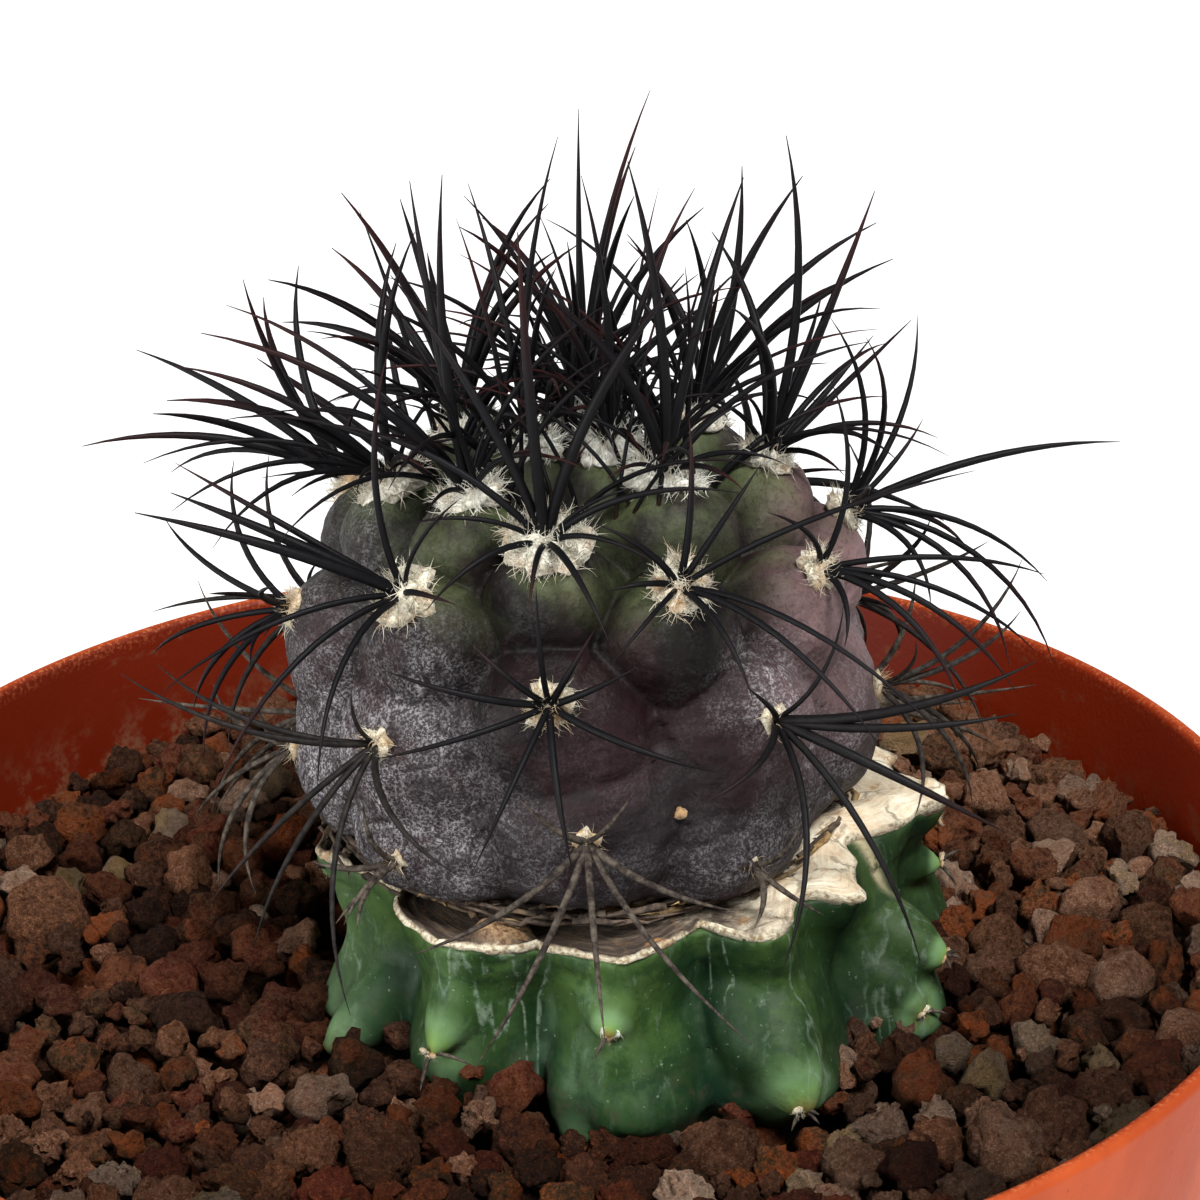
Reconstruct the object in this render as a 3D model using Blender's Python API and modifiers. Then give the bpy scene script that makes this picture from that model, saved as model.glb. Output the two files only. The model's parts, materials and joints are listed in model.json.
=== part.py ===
"""A grafted copiapoa cactus in a round plastic pot. Metres, +Z up.

The pot stands on the origin and holds a bed of lava grit. A green rootstock stands in a plain hole in
the grit. It was cut across, and its cut has healed to a pale skin. The copiapoa itself, a purple-grey
globe of tubercles with woolly areoles and long dark spines, has grown together with that cut.
"""
import math
import random
from collections import namedtuple

import bmesh
import bpy
from mathutils import Vector

GAP = 0.0003

# Pot
POT_HEIGHT = 0.092
POT_RIM_RADIUS = 0.060
POT_BASE_RADIUS = 0.044
POT_WALL = 0.0014
POT_FLOOR = 0.0022
POT_SIDES = 48
BASE_CHANNEL = (0.027, 0.039)
BASE_CHANNEL_DEPTH = 0.002
FLOOR_FILLET = 0.0010
DRAIN_HOLES = 8
DRAIN_RADIUS = 0.0034

# Lava grit
GRIT_LEVEL = 0.0822
GRIT_BEVEL = (0.0026, 0.0016)
STONE_SPACING = 0.0086
STONE_RADIUS = (0.0034, 0.0046)
STONE_SHIFT = 0.0011
STONE_RISE = 0.0006
STONE_UNEVEN = 0.0008
STONE_FROM_STOCK = 0.0010
STONE_SQUASH = (0.65, 0.9)
STONE_CORNER = (0.86, 1.05)

# Rootstock
STOCK_X = 0.0083
STOCK_Y = -0.0015
STOCK_TOP = 0.0966
STOCK_RADIUS = 0.0254
STOCK_SWELL = 0.0010
STOCK_GROOVE = 0.0036
STOCK_RIBS = (-165, -128, -94, -61, -25, 8, 44, 80, 115, 153)
STOCK_SIDES = 60
STOCK_FOOT = 0.0590
STOCK_LEVELS = (0.0640, 0.0710, 0.0775, 0.0822, 0.0860, 0.0900, 0.0940)
STOCK_ROOT_DEPTH = 1.7
STOCK_ROOT_TAPER = 0.75
STOCK_TIP = 0.0015
STOCK_RIM = ((1.0, 0.0008), (0.985, 0.0003), (0.945, 0.0), (0.80, 0.0002))
PEG_SUNK = 0.0020
PEG_TAPER = 0.38

# Copiapoa
SCION_X = 0.0045
SCION_Y = -0.0010
SCION_BASE = STOCK_TOP + GAP
SCION_RADIUS = 0.0232
SCION_WAIST = 0.1080
SCION_CROWN = 0.1274
SCION_DEPTH = 0.0148
SCION_SHOULDER = 2.8
SCION_FLANK = 4.0
SCION_FOOT_RADIUS = 0.0180
SCION_FOOT_RISE = 0.0012
SCION_FIRST_ARC = 0.0012
SCION_SIDES = 48
SCION_RINGS = 22
TUBERCLE_REACH = 0.0078
TUBERCLE_DROP = 0.0020
GROOVE_CROWN = 0.0034
GROOVE_BASE = 0.0009
GROOVE_FADE = (0.018, 0.034)
WOOL_SQUAT = 0.55
SPINE_ROOT = 0.0012
SPINE_PARTS = 3
SPINE_STEPS = 12
SPINE_TAPER = 1.6
SPINE_RADIUS = 0.00036
CENTRAL_RADIUS = 0.00052
CENTRAL_LEAN = 50
CENTRAL_LENGTH = 17
BEND_LEAST = 14
BEND_PER_LEAN = 0.45
SKIN_CLEARANCE = 0.0003
STOCK_CLEARANCE = (0.0016, 0.0058)
GRIT_CLEARANCE = 0.0065

Peg = namedtuple("Peg", "azimuth height length radius droop")
Areole = namedtuple("Areole", "azimuth arc wool spines")

# Blunt tubercles of the rootstock: degrees round its axis, height, length, radius, degrees down.
PEGS = [
    Peg(-128, 0.0875, 0.0046, 0.0027, 38),
    Peg(-94, 0.0905, 0.0030, 0.0032, 15),
    Peg(-61, 0.0868, 0.0058, 0.0034, 48),
    Peg(-22, 0.0885, 0.0052, 0.0033, 10),
    Peg(-28, 0.0850, 0.0040, 0.0028, 32),
    Peg(10, 0.0938, 0.0046, 0.0028, -22),
    Peg(2, 0.0900, 0.0042, 0.0027, 5),
    Peg(-165, 0.0940, 0.0030, 0.0024, -20),
    Peg(-150, 0.0868, 0.0036, 0.0030, 25),
    Peg(44, 0.0895, 0.0046, 0.0030, 12),
    Peg(80, 0.0880, 0.0044, 0.0031, 25),
    Peg(115, 0.0905, 0.0046, 0.0029, 8),
    Peg(153, 0.0880, 0.0045, 0.0031, 20),
]

# Areoles: degrees round the axis (-90 faces the front), length along the body from the crown,
# radius of the wool. A spine is (hour, lean, length): the hour is read on a clock face laid on the
# body with 12 towards the crown, the lean is in degrees from the outward direction, the length in mm.
# Where none are given, the star of a hidden areole is drawn by rule.
AREOLES = [
    Areole(-168, 0.0144, 0.0030, [(12, 30, 20), (10.5, 40, 19), (6.5, 35, 19), (6.8, 48, 19),
                                  (6, 56, 20), (5.4, 63, 19), (4.8, 70, 19), (2.5, 70, 12)]),
    Areole(-168, 0.0275, 0.0019, [(9.5, 45, 14), (7.5, 55, 16), (6.5, 62, 13), (5.5, 66, 14),
                                  (11, 62, 13), (2, 70, 11)]),
    Areole(-168, 0.0392, 0.0014, [(7, 45, 12), (6, 58, 14), (4.6, 72, 13), (9.5, 60, 11)]),
    Areole(-133, 0.0117, 0.0031, [(12, 12, 25), (10.6, 28, 24), (8.6, 50, 24), (7.8, 44, 24),
                                  (1, 50, 19), (3, 64, 15)]),
    Areole(-130, 0.0214, 0.0029, [(11.8, 55, 19), (9.3, 52, 20), (8.6, 38, 21), (9, 45, 19),
                                  (7.1, 58, 20), (6.3, 68, 21), (5.4, 68, 19), (3, 68, 8)]),
    Areole(-131, 0.0330, 0.0016, [(9.7, 60, 18), (9.8, 50, 20), (7.1, 52, 18), (6.4, 52, 18),
                                  (5.2, 58, 21), (3.9, 74, 14)]),
    Areole(-128, 0.0424, 0.0010, [(9, 62, 7), (7, 55, 7), (6, 48, 7), (5, 58, 7)]),
    Areole(-99, 0.0155, 0.0036, [(11.8, 24, 24), (10.5, 44, 23), (1.4, 42, 23), (9.6, 70, 20),
                                 (2.8, 72, 16), (5, 80, 13), (7.4, 80, 12)]),
    Areole(-96, 0.0279, 0.0021, [(10.4, 76, 8), (9.5, 74, 13), (8.5, 72, 14), (6.8, 54, 14),
                                 (5.6, 60, 13), (1, 70, 8), (2.1, 74, 8), (3.6, 76, 14)]),
    Areole(-90, 0.0385, 0.0013, [(8.3, 62, 16), (7.2, 50, 19), (5.8, 34, 16), (4.4, 52, 20),
                                 (3.5, 62, 13), (10.4, 78, 7)]),
    Areole(-48, 0.0096, 0.0033, [(12, 18, 24), (2, 36, 24), (10, 36, 20), (4, 52, 19),
                                 (7.6, 56, 14), (6, 70, 9)]),
    Areole(-68, 0.0201, 0.0029, [(10.2, 62, 9), (12.3, 50, 13), (1.6, 55, 11), (3.1, 50, 24),
                                 (4.9, 66, 24), (5.2, 68, 21), (5.8, 70, 12), (9, 72, 7)]),
    Areole(-53, 0.0315, 0.0015, [(2.4, 46, 20), (2.9, 42, 18), (4.3, 42, 19), (5.8, 50, 21),
                                 (7.1, 58, 20), (8.5, 72, 11), (10.6, 74, 6)]),
    Areole(-58, 0.0428, 0.0009, [(4, 60, 7), (8, 60, 6)]),
    Areole(-30, 0.0226, 0.0022, [(12.4, 58, 15), (4.4, 52, 18), (5.2, 58, 18), (5.8, 60, 18),
                                 (6.3, 66, 16), (7.4, 76, 8)]),
    Areole(-12, 0.0354, 0.0014, [(1.6, 48, 16), (2.5, 45, 15), (5, 55, 14), (6, 62, 13), (7.6, 70, 12)]),
    Areole(3, 0.0147, 0.0028, [(12.6, 20, 25), (3, 8, 22), (1.6, 46, 19), (10.4, 48, 20),
                               (4.2, 56, 17), (6.2, 60, 14), (8, 62, 15)]),
    Areole(4, 0.0228, 0.0021, [(5.5, 24, 23), (2.4, 24, 10), (1.4, 38, 17), (12.4, 60, 16),
                               (11.2, 57, 18), (5.4, 60, 13), (6.2, 54, 18), (6.4, 70, 22),
                               (6.8, 76, 19), (7.6, 80, 12)]),
    Areole(24, 0.0340, 0.0015, None),
    Areole(22, 0.0430, 0.0009, None),
    Areole(36, 0.0112, 0.0030, None),
    Areole(54, 0.0182, 0.0024, None),
    Areole(55, 0.0280, 0.0018, None),
    Areole(55, 0.0392, 0.0013, None),
    Areole(86, 0.0118, 0.0030, None),
    Areole(88, 0.0222, 0.0023, None),
    Areole(88, 0.0332, 0.0015, None),
    Areole(88, 0.0430, 0.0009, None),
    Areole(122, 0.0170, 0.0026, None),
    Areole(122, 0.0278, 0.0018, None),
    Areole(122, 0.0392, 0.0013, None),
    Areole(148, 0.0106, 0.0030, None),
    Areole(157, 0.0212, 0.0023, None),
    Areole(157, 0.0330, 0.0015, None),
    Areole(157, 0.0428, 0.0009, None),
    Areole(-160, 0.0040, 0.0030, [(12, 10, 24), (9, 28, 21), (6, 40, 18), (3, 30, 20)]),
    Areole(-40, 0.0032, 0.0030, [(12, 12, 21), (3, 30, 21), (6, 42, 17), (9, 30, 18)]),
    Areole(84, 0.0044, 0.0030, [(7.6, 16, 26), (6, 6, 24), (3, 26, 20), (12, 30, 18)]),
]

# Star of a hidden areole, young or old: spines in its ring, their lean, and the longest in mm.
STAR_YOUNG = (6, 40, 21)
STAR_OLD = (4, 58, 17)
STAR_OLD_ARC = 0.030
STAR_HOUR_SHIFT = 0.5
STAR_LEAN_SHIFT = (-9, 12)
STAR_LENGTHS = (0.72, 1.05)
STAR_CENTRAL_LEAN = 14


def clear_scene():
    """Remove every object that is already there."""
    for item in list(bpy.data.objects):
        bpy.data.objects.remove(item, do_unlink=True)


def new_collection(name):
    group = bpy.data.collections.new(name)
    bpy.context.scene.collection.children.link(group)
    return group


def new_material(name, colour, roughness):
    material = bpy.data.materials.new(name)
    material.use_nodes = True
    shader = material.node_tree.nodes["Principled BSDF"]
    shader.inputs["Base Color"].default_value = (*colour, 1.0)
    shader.inputs["Roughness"].default_value = roughness
    shader.inputs["Metallic"].default_value = 0.0
    return material


def new_object(name, bm, group, material=None):
    """Turn a bmesh into a named object with its faces pointing out."""
    bm.normal_update()
    bmesh.ops.recalc_face_normals(bm, faces=bm.faces)
    mesh = bpy.data.meshes.new(name)
    bm.to_mesh(mesh)
    bm.free()
    item = bpy.data.objects.new(name, mesh)
    group.objects.link(item)
    if material:
        mesh.materials.append(material)
    return item


def hide_cutter(item):
    item.hide_render = True
    item.display_type = "WIRE"


def bake(item):
    """Replace an object's mesh by the result of its modifiers."""
    graph = bpy.context.evaluated_depsgraph_get()
    graph.update()
    mesh = bpy.data.meshes.new_from_object(item.evaluated_get(graph))
    item.modifiers.clear()
    item.data = mesh


def fuse(item, group, pieces):
    """Join loose solids to an object by one Boolean union, then remove them."""
    helpers = new_collection(group.name + "_" + item.name + "_pieces")
    for piece in pieces:
        group.objects.unlink(piece)
        helpers.objects.link(piece)
    union = item.modifiers.new("Fuse", "BOOLEAN")
    union.operation = "UNION"
    union.operand_type = "COLLECTION"
    union.collection = helpers
    union.solver = "MANIFOLD"
    bake(item)
    for piece in pieces:
        bpy.data.objects.remove(piece, do_unlink=True)
    bpy.data.collections.remove(helpers)


def shade(item, angle):
    item.data.shade_smooth()
    item.data.set_sharp_from_angle(angle=math.radians(angle))


def revolve(name, profile, sides, group, material):
    """Turn a closed outline of (radius, height) round the Z axis with a Screw modifier."""
    bm = bmesh.new()
    row = [bm.verts.new((radius, 0.0, height)) for radius, height in profile]
    for first, second in zip(row, row[1:]):
        bm.edges.new((first, second))
    if profile[0][0] > 0.0:
        bm.edges.new((row[-1], row[0]))
    mesh = bpy.data.meshes.new(name)
    bm.to_mesh(mesh)
    bm.free()
    item = bpy.data.objects.new(name, mesh)
    group.objects.link(item)
    mesh.materials.append(material)
    screw = item.modifiers.new("Turn", "SCREW")
    screw.steps = sides
    screw.render_steps = sides
    screw.use_merge_vertices = True
    screw.merge_threshold = 0.00001
    screw.use_smooth_shade = False
    return item


def skin_rings(rings, bottom, top):
    """Close a stack of equal rings into one body, with a point at each end."""
    bm = bmesh.new()
    rows = [[bm.verts.new(point) for point in ring] for ring in rings]
    count = len(rings[0])
    for lower, upper in zip(rows, rows[1:]):
        for i in range(count):
            j = (i + 1) % count
            bm.faces.new((lower[i], lower[j], upper[j], upper[i]))
    for row, point in ((rows[0], bottom), (rows[-1], top)):
        centre = bm.verts.new(point)
        for i in range(count):
            bm.faces.new((row[i], row[(i + 1) % count], centre))
    return bm


def pot_inner_radius(height):
    """Inner radius of the tapering wall at a height."""
    outer = POT_BASE_RADIUS + (POT_RIM_RADIUS - POT_BASE_RADIUS) * height / POT_HEIGHT
    return outer - POT_WALL


def make_pot(group, cutters):
    """The moulded pot: thin tapering wall, rounded lip, raised ring of drain holes underneath."""
    floor_top = BASE_CHANNEL_DEPTH + POT_FLOOR
    inner_floor = pot_inner_radius(floor_top)
    channel_in, channel_out = BASE_CHANNEL
    lip = POT_WALL / 2
    lip_centre = POT_RIM_RADIUS - lip
    profile = [
        (0.0, floor_top),
        (inner_floor - FLOOR_FILLET, floor_top),
        (pot_inner_radius(floor_top + FLOOR_FILLET), floor_top + FLOOR_FILLET),
        (pot_inner_radius(POT_HEIGHT - POT_WALL), POT_HEIGHT - POT_WALL),
    ]
    for step in range(5):
        angle = math.pi - math.pi * step / 4
        radius = lip_centre + lip * math.cos(angle)
        profile.append((radius, POT_HEIGHT - lip + lip * math.sin(angle)))
    profile += [
        (POT_BASE_RADIUS, FLOOR_FILLET),
        (POT_BASE_RADIUS - FLOOR_FILLET, 0.0),
        (channel_out, 0.0),
        (channel_out, BASE_CHANNEL_DEPTH),
        (channel_in, BASE_CHANNEL_DEPTH),
        (channel_in, 0.0),
        (0.0, 0.0),
    ]
    terracotta = new_material("pot_plastic", (0.52, 0.09, 0.025), 0.42)
    pot = revolve("pot", profile, POT_SIDES, group, terracotta)
    ring = (channel_in + channel_out) / 2
    for number in range(DRAIN_HOLES):
        angle = 2 * math.pi * (number + 0.5) / DRAIN_HOLES
        bm = bmesh.new()
        bmesh.ops.create_cone(
            bm, cap_ends=True, segments=10, radius1=DRAIN_RADIUS, radius2=DRAIN_RADIUS, depth=4 * POT_FLOOR)
        place = (ring * math.cos(angle), ring * math.sin(angle), floor_top - POT_FLOOR / 2)
        bmesh.ops.translate(bm, verts=bm.verts, vec=place)
        drill = new_object(f"drain_{number}", bm, cutters)
        hide_cutter(drill)
        cut = pot.modifiers.new(drill.name, "BOOLEAN")
        cut.operation = "DIFFERENCE"
        cut.object = drill
    return pot


def stock_radius(azimuth, height):
    """Radius of the rootstock: ribs with rounded crests and sharp grooves, narrower underground."""
    above = (height - GRIT_LEVEL) / (STOCK_TOP - GRIT_LEVEL)
    if above >= 0.0:
        crest = STOCK_RADIUS + STOCK_SWELL * math.cos(math.pi * above)
        groove = STOCK_GROOVE
    else:
        depth = min(1.0, -above / STOCK_ROOT_DEPTH)
        crest = (STOCK_RADIUS + STOCK_SWELL) * (1 - STOCK_ROOT_TAPER * depth)
        groove = STOCK_GROOVE * (1 - depth)
    ribs = sorted(STOCK_RIBS)
    ribs = [ribs[-1] - 360] + ribs + [ribs[0] + 360]
    azimuth = (azimuth + 180) % 360 - 180
    for left, right in zip(ribs, ribs[1:]):
        if left <= azimuth <= right:
            share = (azimuth - left) / (right - left)
            return crest - groove * (1 - abs(2 * share - 1)) ** 1.5
    return crest


def stock_point(azimuth, radius, height):
    angle = math.radians(azimuth)
    return Vector((STOCK_X + radius * math.cos(angle), STOCK_Y + radius * math.sin(angle), height))


def stock_body(grow):
    """Skin of the rootstock, thicker by an even amount where it serves to cut its own hole."""
    azimuths = [-180 + 360 * step / STOCK_SIDES for step in range(STOCK_SIDES)]
    rings = []
    for height in (STOCK_FOOT, *STOCK_LEVELS):
        rings.append([stock_point(a, stock_radius(a, height) + grow, height) for a in azimuths])
    if grow:
        rings.append([stock_point(a, STOCK_RADIUS + STOCK_SWELL, STOCK_TOP) for a in azimuths])
    else:
        for share, drop in STOCK_RIM:
            height = STOCK_TOP - drop
            rings.append([stock_point(a, stock_radius(a, STOCK_TOP) * share, height) for a in azimuths])
    bottom = stock_point(0, 0, STOCK_FOOT - STOCK_TIP - grow)
    return skin_rings(rings, bottom, stock_point(0, 0, rings[-1][0].z))


def peg_frame(peg):
    """Root of a peg, sunk into the skin, and the way it points."""
    outward = math.radians(peg.azimuth)
    droop = math.radians(peg.droop)
    flat = Vector((math.cos(outward), math.sin(outward), 0.0))
    aim = flat * math.cos(droop) - Vector((0, 0, math.sin(droop)))
    root = stock_point(peg.azimuth, stock_radius(peg.azimuth, peg.height) - PEG_SUNK, peg.height)
    return root, aim


def make_rootstock(group):
    """Green stock: ribbed stump with a healed flat cut and blunt pegs, running down into the grit."""
    green = new_material("rootstock_skin", (0.055, 0.16, 0.06), 0.45)
    stock = new_object("rootstock", stock_body(0.0), group, green)
    pegs = []
    for number, peg in enumerate(PEGS):
        root, aim = peg_frame(peg)
        bm = bmesh.new()
        bmesh.ops.create_icosphere(bm, subdivisions=2, radius=1.0)
        turn = aim.to_track_quat("Z", "Y")
        for vertex in bm.verts:
            across = peg.radius * (1.0 - PEG_TAPER * vertex.co.z)
            local = Vector((vertex.co.x * across, vertex.co.y * across, vertex.co.z * peg.length))
            vertex.co = root + turn @ local
        pegs.append(new_object(f"peg_{number}", bm, group))
    fuse(stock, group, pegs)
    shade(stock, 50)
    return stock


def near_stock(centre, radius):
    """True where a stone would touch the rootstock or one of its pegs."""
    from_stock = math.hypot(centre.x - STOCK_X, centre.y - STOCK_Y)
    azimuth = math.degrees(math.atan2(centre.y - STOCK_Y, centre.x - STOCK_X))
    if from_stock - radius < stock_radius(azimuth, GRIT_LEVEL) + STONE_FROM_STOCK:
        return True
    for peg in PEGS:
        root, aim = peg_frame(peg)
        along = min(max((centre - root).dot(aim), 0.0), peg.length)
        if (centre - root - aim * along).length < radius + peg.radius + GAP:
            return True
    return False


def make_stone(name, group, centre, radius, draw):
    """An uneven stone: a low round solid, squashed, with every corner pushed in or out a little."""
    bm = bmesh.new()
    bmesh.ops.create_icosphere(bm, subdivisions=1, radius=radius)
    stretch = Vector((draw.uniform(0.85, 1.0), draw.uniform(0.85, 1.0), draw.uniform(*STONE_SQUASH)))
    for vertex in bm.verts:
        vertex.co = centre + vertex.co * stretch * draw.uniform(*STONE_CORNER)
    return new_object(name, bm, group)


def make_grit(group, cutters):
    """Bed of lava grit: fills the pot below, stones stand out of its top, and it has the stock's hole."""
    draw = random.Random(11)
    floor = BASE_CHANNEL_DEPTH + POT_FLOOR + GAP
    bevel_in, bevel_up = GRIT_BEVEL
    profile = [
        (0.0, floor),
        (pot_inner_radius(floor) - bevel_in, floor),
        (pot_inner_radius(floor + bevel_up) - 2 * GAP, floor + bevel_up),
        (pot_inner_radius(GRIT_LEVEL) - 2 * GAP, GRIT_LEVEL),
        (0.0, GRIT_LEVEL),
    ]
    lava = new_material("lava_grit", (0.085, 0.038, 0.028), 0.9)
    bed = revolve("grit", profile, POT_SIDES, group, lava)
    bake(bed)
    bm = bmesh.new()
    bm.from_mesh(bed.data)
    bmesh.ops.recalc_face_normals(bm, faces=bm.faces)
    bm.to_mesh(bed.data)
    bm.free()
    stones = []
    reach = pot_inner_radius(GRIT_LEVEL) - 2 * GAP
    row_step = STONE_SPACING * math.sqrt(3) / 2
    rows = int(reach / row_step) + 1
    for row in range(-rows, rows + 1):
        for column in range(-rows, rows + 1):
            radius = draw.uniform(*STONE_RADIUS)
            x = (column + row % 2 / 2) * STONE_SPACING + draw.uniform(-1, 1) * STONE_SHIFT
            y = row * row_step + draw.uniform(-1, 1) * STONE_SHIFT
            rise = STONE_RISE + draw.uniform(-1, 1) * STONE_UNEVEN
            centre = Vector((x, y, GRIT_LEVEL + rise))
            largest = radius * STONE_CORNER[1]
            if math.hypot(x, y) + largest > reach or near_stock(centre, largest):
                continue
            stones.append(make_stone(f"stone_{len(stones)}", group, centre, radius, draw))
    fuse(bed, group, stones)
    hole = new_object("stock_hole", stock_body(GAP), cutters)
    hide_cutter(hole)
    cut = bed.modifiers.new("stock_hole", "BOOLEAN")
    cut.operation = "DIFFERENCE"
    cut.solver = "MANIFOLD"
    cut.object = hole
    return bed


def scion_outline():
    """Outline of the globe from the crown's centre down to its foot, as (radius, height)."""
    points = []
    steps = 160
    for step in range(steps):
        angle = math.pi / 2 * step / steps
        radius = SCION_RADIUS * math.sin(angle) ** (2 / SCION_SHOULDER)
        rise = (SCION_CROWN - SCION_WAIST) * math.cos(angle) ** (2 / SCION_SHOULDER)
        points.append((radius, SCION_WAIST + rise))
    for step in range(steps):
        angle = math.pi / 2 * step / steps
        radius = SCION_RADIUS * math.cos(angle) ** (2 / SCION_FLANK)
        height = SCION_WAIST - SCION_DEPTH * math.sin(angle) ** (2 / SCION_FLANK)
        if height < SCION_BASE + SCION_FOOT_RISE:
            break
        points.append((radius, height))
    return points


OUTLINE = scion_outline()
ARCS = [0.0]
for before, after in zip(OUTLINE, OUTLINE[1:]):
    ARCS.append(ARCS[-1] + math.dist(before, after))


def scion_surface(azimuth, arc):
    """Smooth globe before its tubercles: the point and the outward direction."""
    arc = min(max(arc, 0.0), ARCS[-1])
    index = 1
    while index < len(ARCS) - 1 and ARCS[index] < arc:
        index += 1
    (r0, z0), (r1, z1) = OUTLINE[index - 1], OUTLINE[index]
    share = (arc - ARCS[index - 1]) / (ARCS[index] - ARCS[index - 1])
    radius = r0 + (r1 - r0) * share
    height = z0 + (z1 - z0) * share
    angle = math.radians(azimuth)
    flat = Vector((math.cos(angle), math.sin(angle), 0.0))
    point = Vector((SCION_X, SCION_Y, height)) + flat * radius
    slope = Vector((r1 - r0, z1 - z0)).normalized()
    normal = flat * -slope.y + Vector((0, 0, slope.x))
    return point, normal


TUBERCLES = [scion_surface(a.azimuth, a.arc + TUBERCLE_DROP * min(1, a.arc / 0.012))[0] for a in AREOLES]


def tubercle_point(azimuth, arc):
    """Point of the real skin: every tubercle is a dome, and two domes meet in a groove."""
    point, normal = scion_surface(azimuth, arc)
    nearest = min((point - centre).length for centre in TUBERCLES)
    fall = min(1.0, nearest / TUBERCLE_REACH) ** 2
    start, end = GROOVE_FADE
    share = min(1.0, max(0.0, (arc - start) / (end - start)))
    depth = GROOVE_CROWN + (GROOVE_BASE - GROOVE_CROWN) * share
    return point - normal * depth * fall, normal


def outline_radius(height):
    """Widest radius of the globe at a height, for keeping spines out of the flesh."""
    if height >= SCION_CROWN or height < OUTLINE[-1][1]:
        return 0.0
    for (r0, z0), (r1, z1) in zip(OUTLINE, OUTLINE[1:]):
        if z1 <= height <= z0:
            return r0 + (r1 - r0) * (z0 - height) / max(z0 - z1, 1e-9)
    return SCION_RADIUS


def blocked(point):
    """True where a spine would run into the flesh, the rootstock, the grit or the pot."""
    from_scion = math.hypot(point.x - SCION_X, point.y - SCION_Y)
    if from_scion < outline_radius(point.z) + SKIN_CLEARANCE:
        return True
    above, beside = STOCK_CLEARANCE
    if point.z < STOCK_TOP + above:
        from_stock = math.hypot(point.x - STOCK_X, point.y - STOCK_Y)
        if from_stock < STOCK_RADIUS + beside:
            return True
    return point.z < GRIT_LEVEL + GRIT_CLEARANCE


def spine_path(areole, hour, lean, length):
    """Centre line of a curved spine: it leaves its areole steeply and bends away to its hour."""
    root, normal = tubercle_point(areole.azimuth, areole.arc)
    angle = math.radians(areole.azimuth)
    side = Vector((-math.sin(angle), math.cos(angle), 0.0))
    crownward = normal.cross(side)
    turn = math.radians(hour * 30)
    spread = crownward * math.cos(turn) + side * math.sin(turn)
    bend = BEND_LEAST + BEND_PER_LEAN * lean
    for attempt in range(12):
        points = [root - normal * SPINE_ROOT, root.copy()]
        for step in range(SPINE_STEPS):
            now = math.radians(lean + bend * ((step + 0.5) / SPINE_STEPS - 0.5))
            course = normal * math.cos(now) + spread * math.sin(now)
            points.append(points[-1] + course * length / SPINE_STEPS)
        if not any(blocked(point) for point in points[5:]):
            break
        lean -= 5
    return points


def spine_mesh(path, radius, sides):
    """Thin tapering horn along a path: sunk root, a few rings and a sharp tip."""
    picks = [path[0]]
    for part in range(1, SPINE_PARTS + 1):
        picks.append(path[1 + SPINE_STEPS * part // SPINE_PARTS])
    bm = bmesh.new()
    rows = []
    across = (picks[1] - picks[0]).orthogonal().normalized()
    for index in range(SPINE_PARTS):
        ahead = (picks[index + 1] - picks[max(index - 1, 0)]).normalized()
        across = (across - ahead * across.dot(ahead)).normalized()
        over = ahead.cross(across)
        width = radius * (1 - (index / SPINE_PARTS) ** SPINE_TAPER)
        row = []
        for corner in range(sides):
            angle = 2 * math.pi * corner / sides
            outward = across * math.cos(angle) + over * math.sin(angle)
            row.append(bm.verts.new(picks[index] + outward * width))
        rows.append(row)
    for lower, upper in zip(rows, rows[1:]):
        for i in range(sides):
            j = (i + 1) % sides
            bm.faces.new((lower[i], lower[j], upper[j], upper[i]))
    tip = bm.verts.new(picks[-1])
    for i in range(sides):
        bm.faces.new((rows[-1][i], rows[-1][(i + 1) % sides], tip))
    bm.faces.new(rows[0])
    return bm


def star_of(areole, draw):
    """Spines of a hidden areole: an even star, its upper ones longest on young areoles."""
    if areole.spines:
        return areole.spines
    count, lean, longest = STAR_OLD if areole.arc > STAR_OLD_ARC else STAR_YOUNG
    star = []
    first = draw.uniform(0, 12)
    for number in range(count):
        hour = first + 12 * number / count + draw.uniform(-1, 1) * STAR_HOUR_SHIFT
        tilt = lean + draw.uniform(*STAR_LEAN_SHIFT)
        star.append((hour, tilt, longest * draw.uniform(*STAR_LENGTHS)))
    star.append((draw.uniform(0, 12), STAR_CENTRAL_LEAN, longest))
    return star


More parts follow.
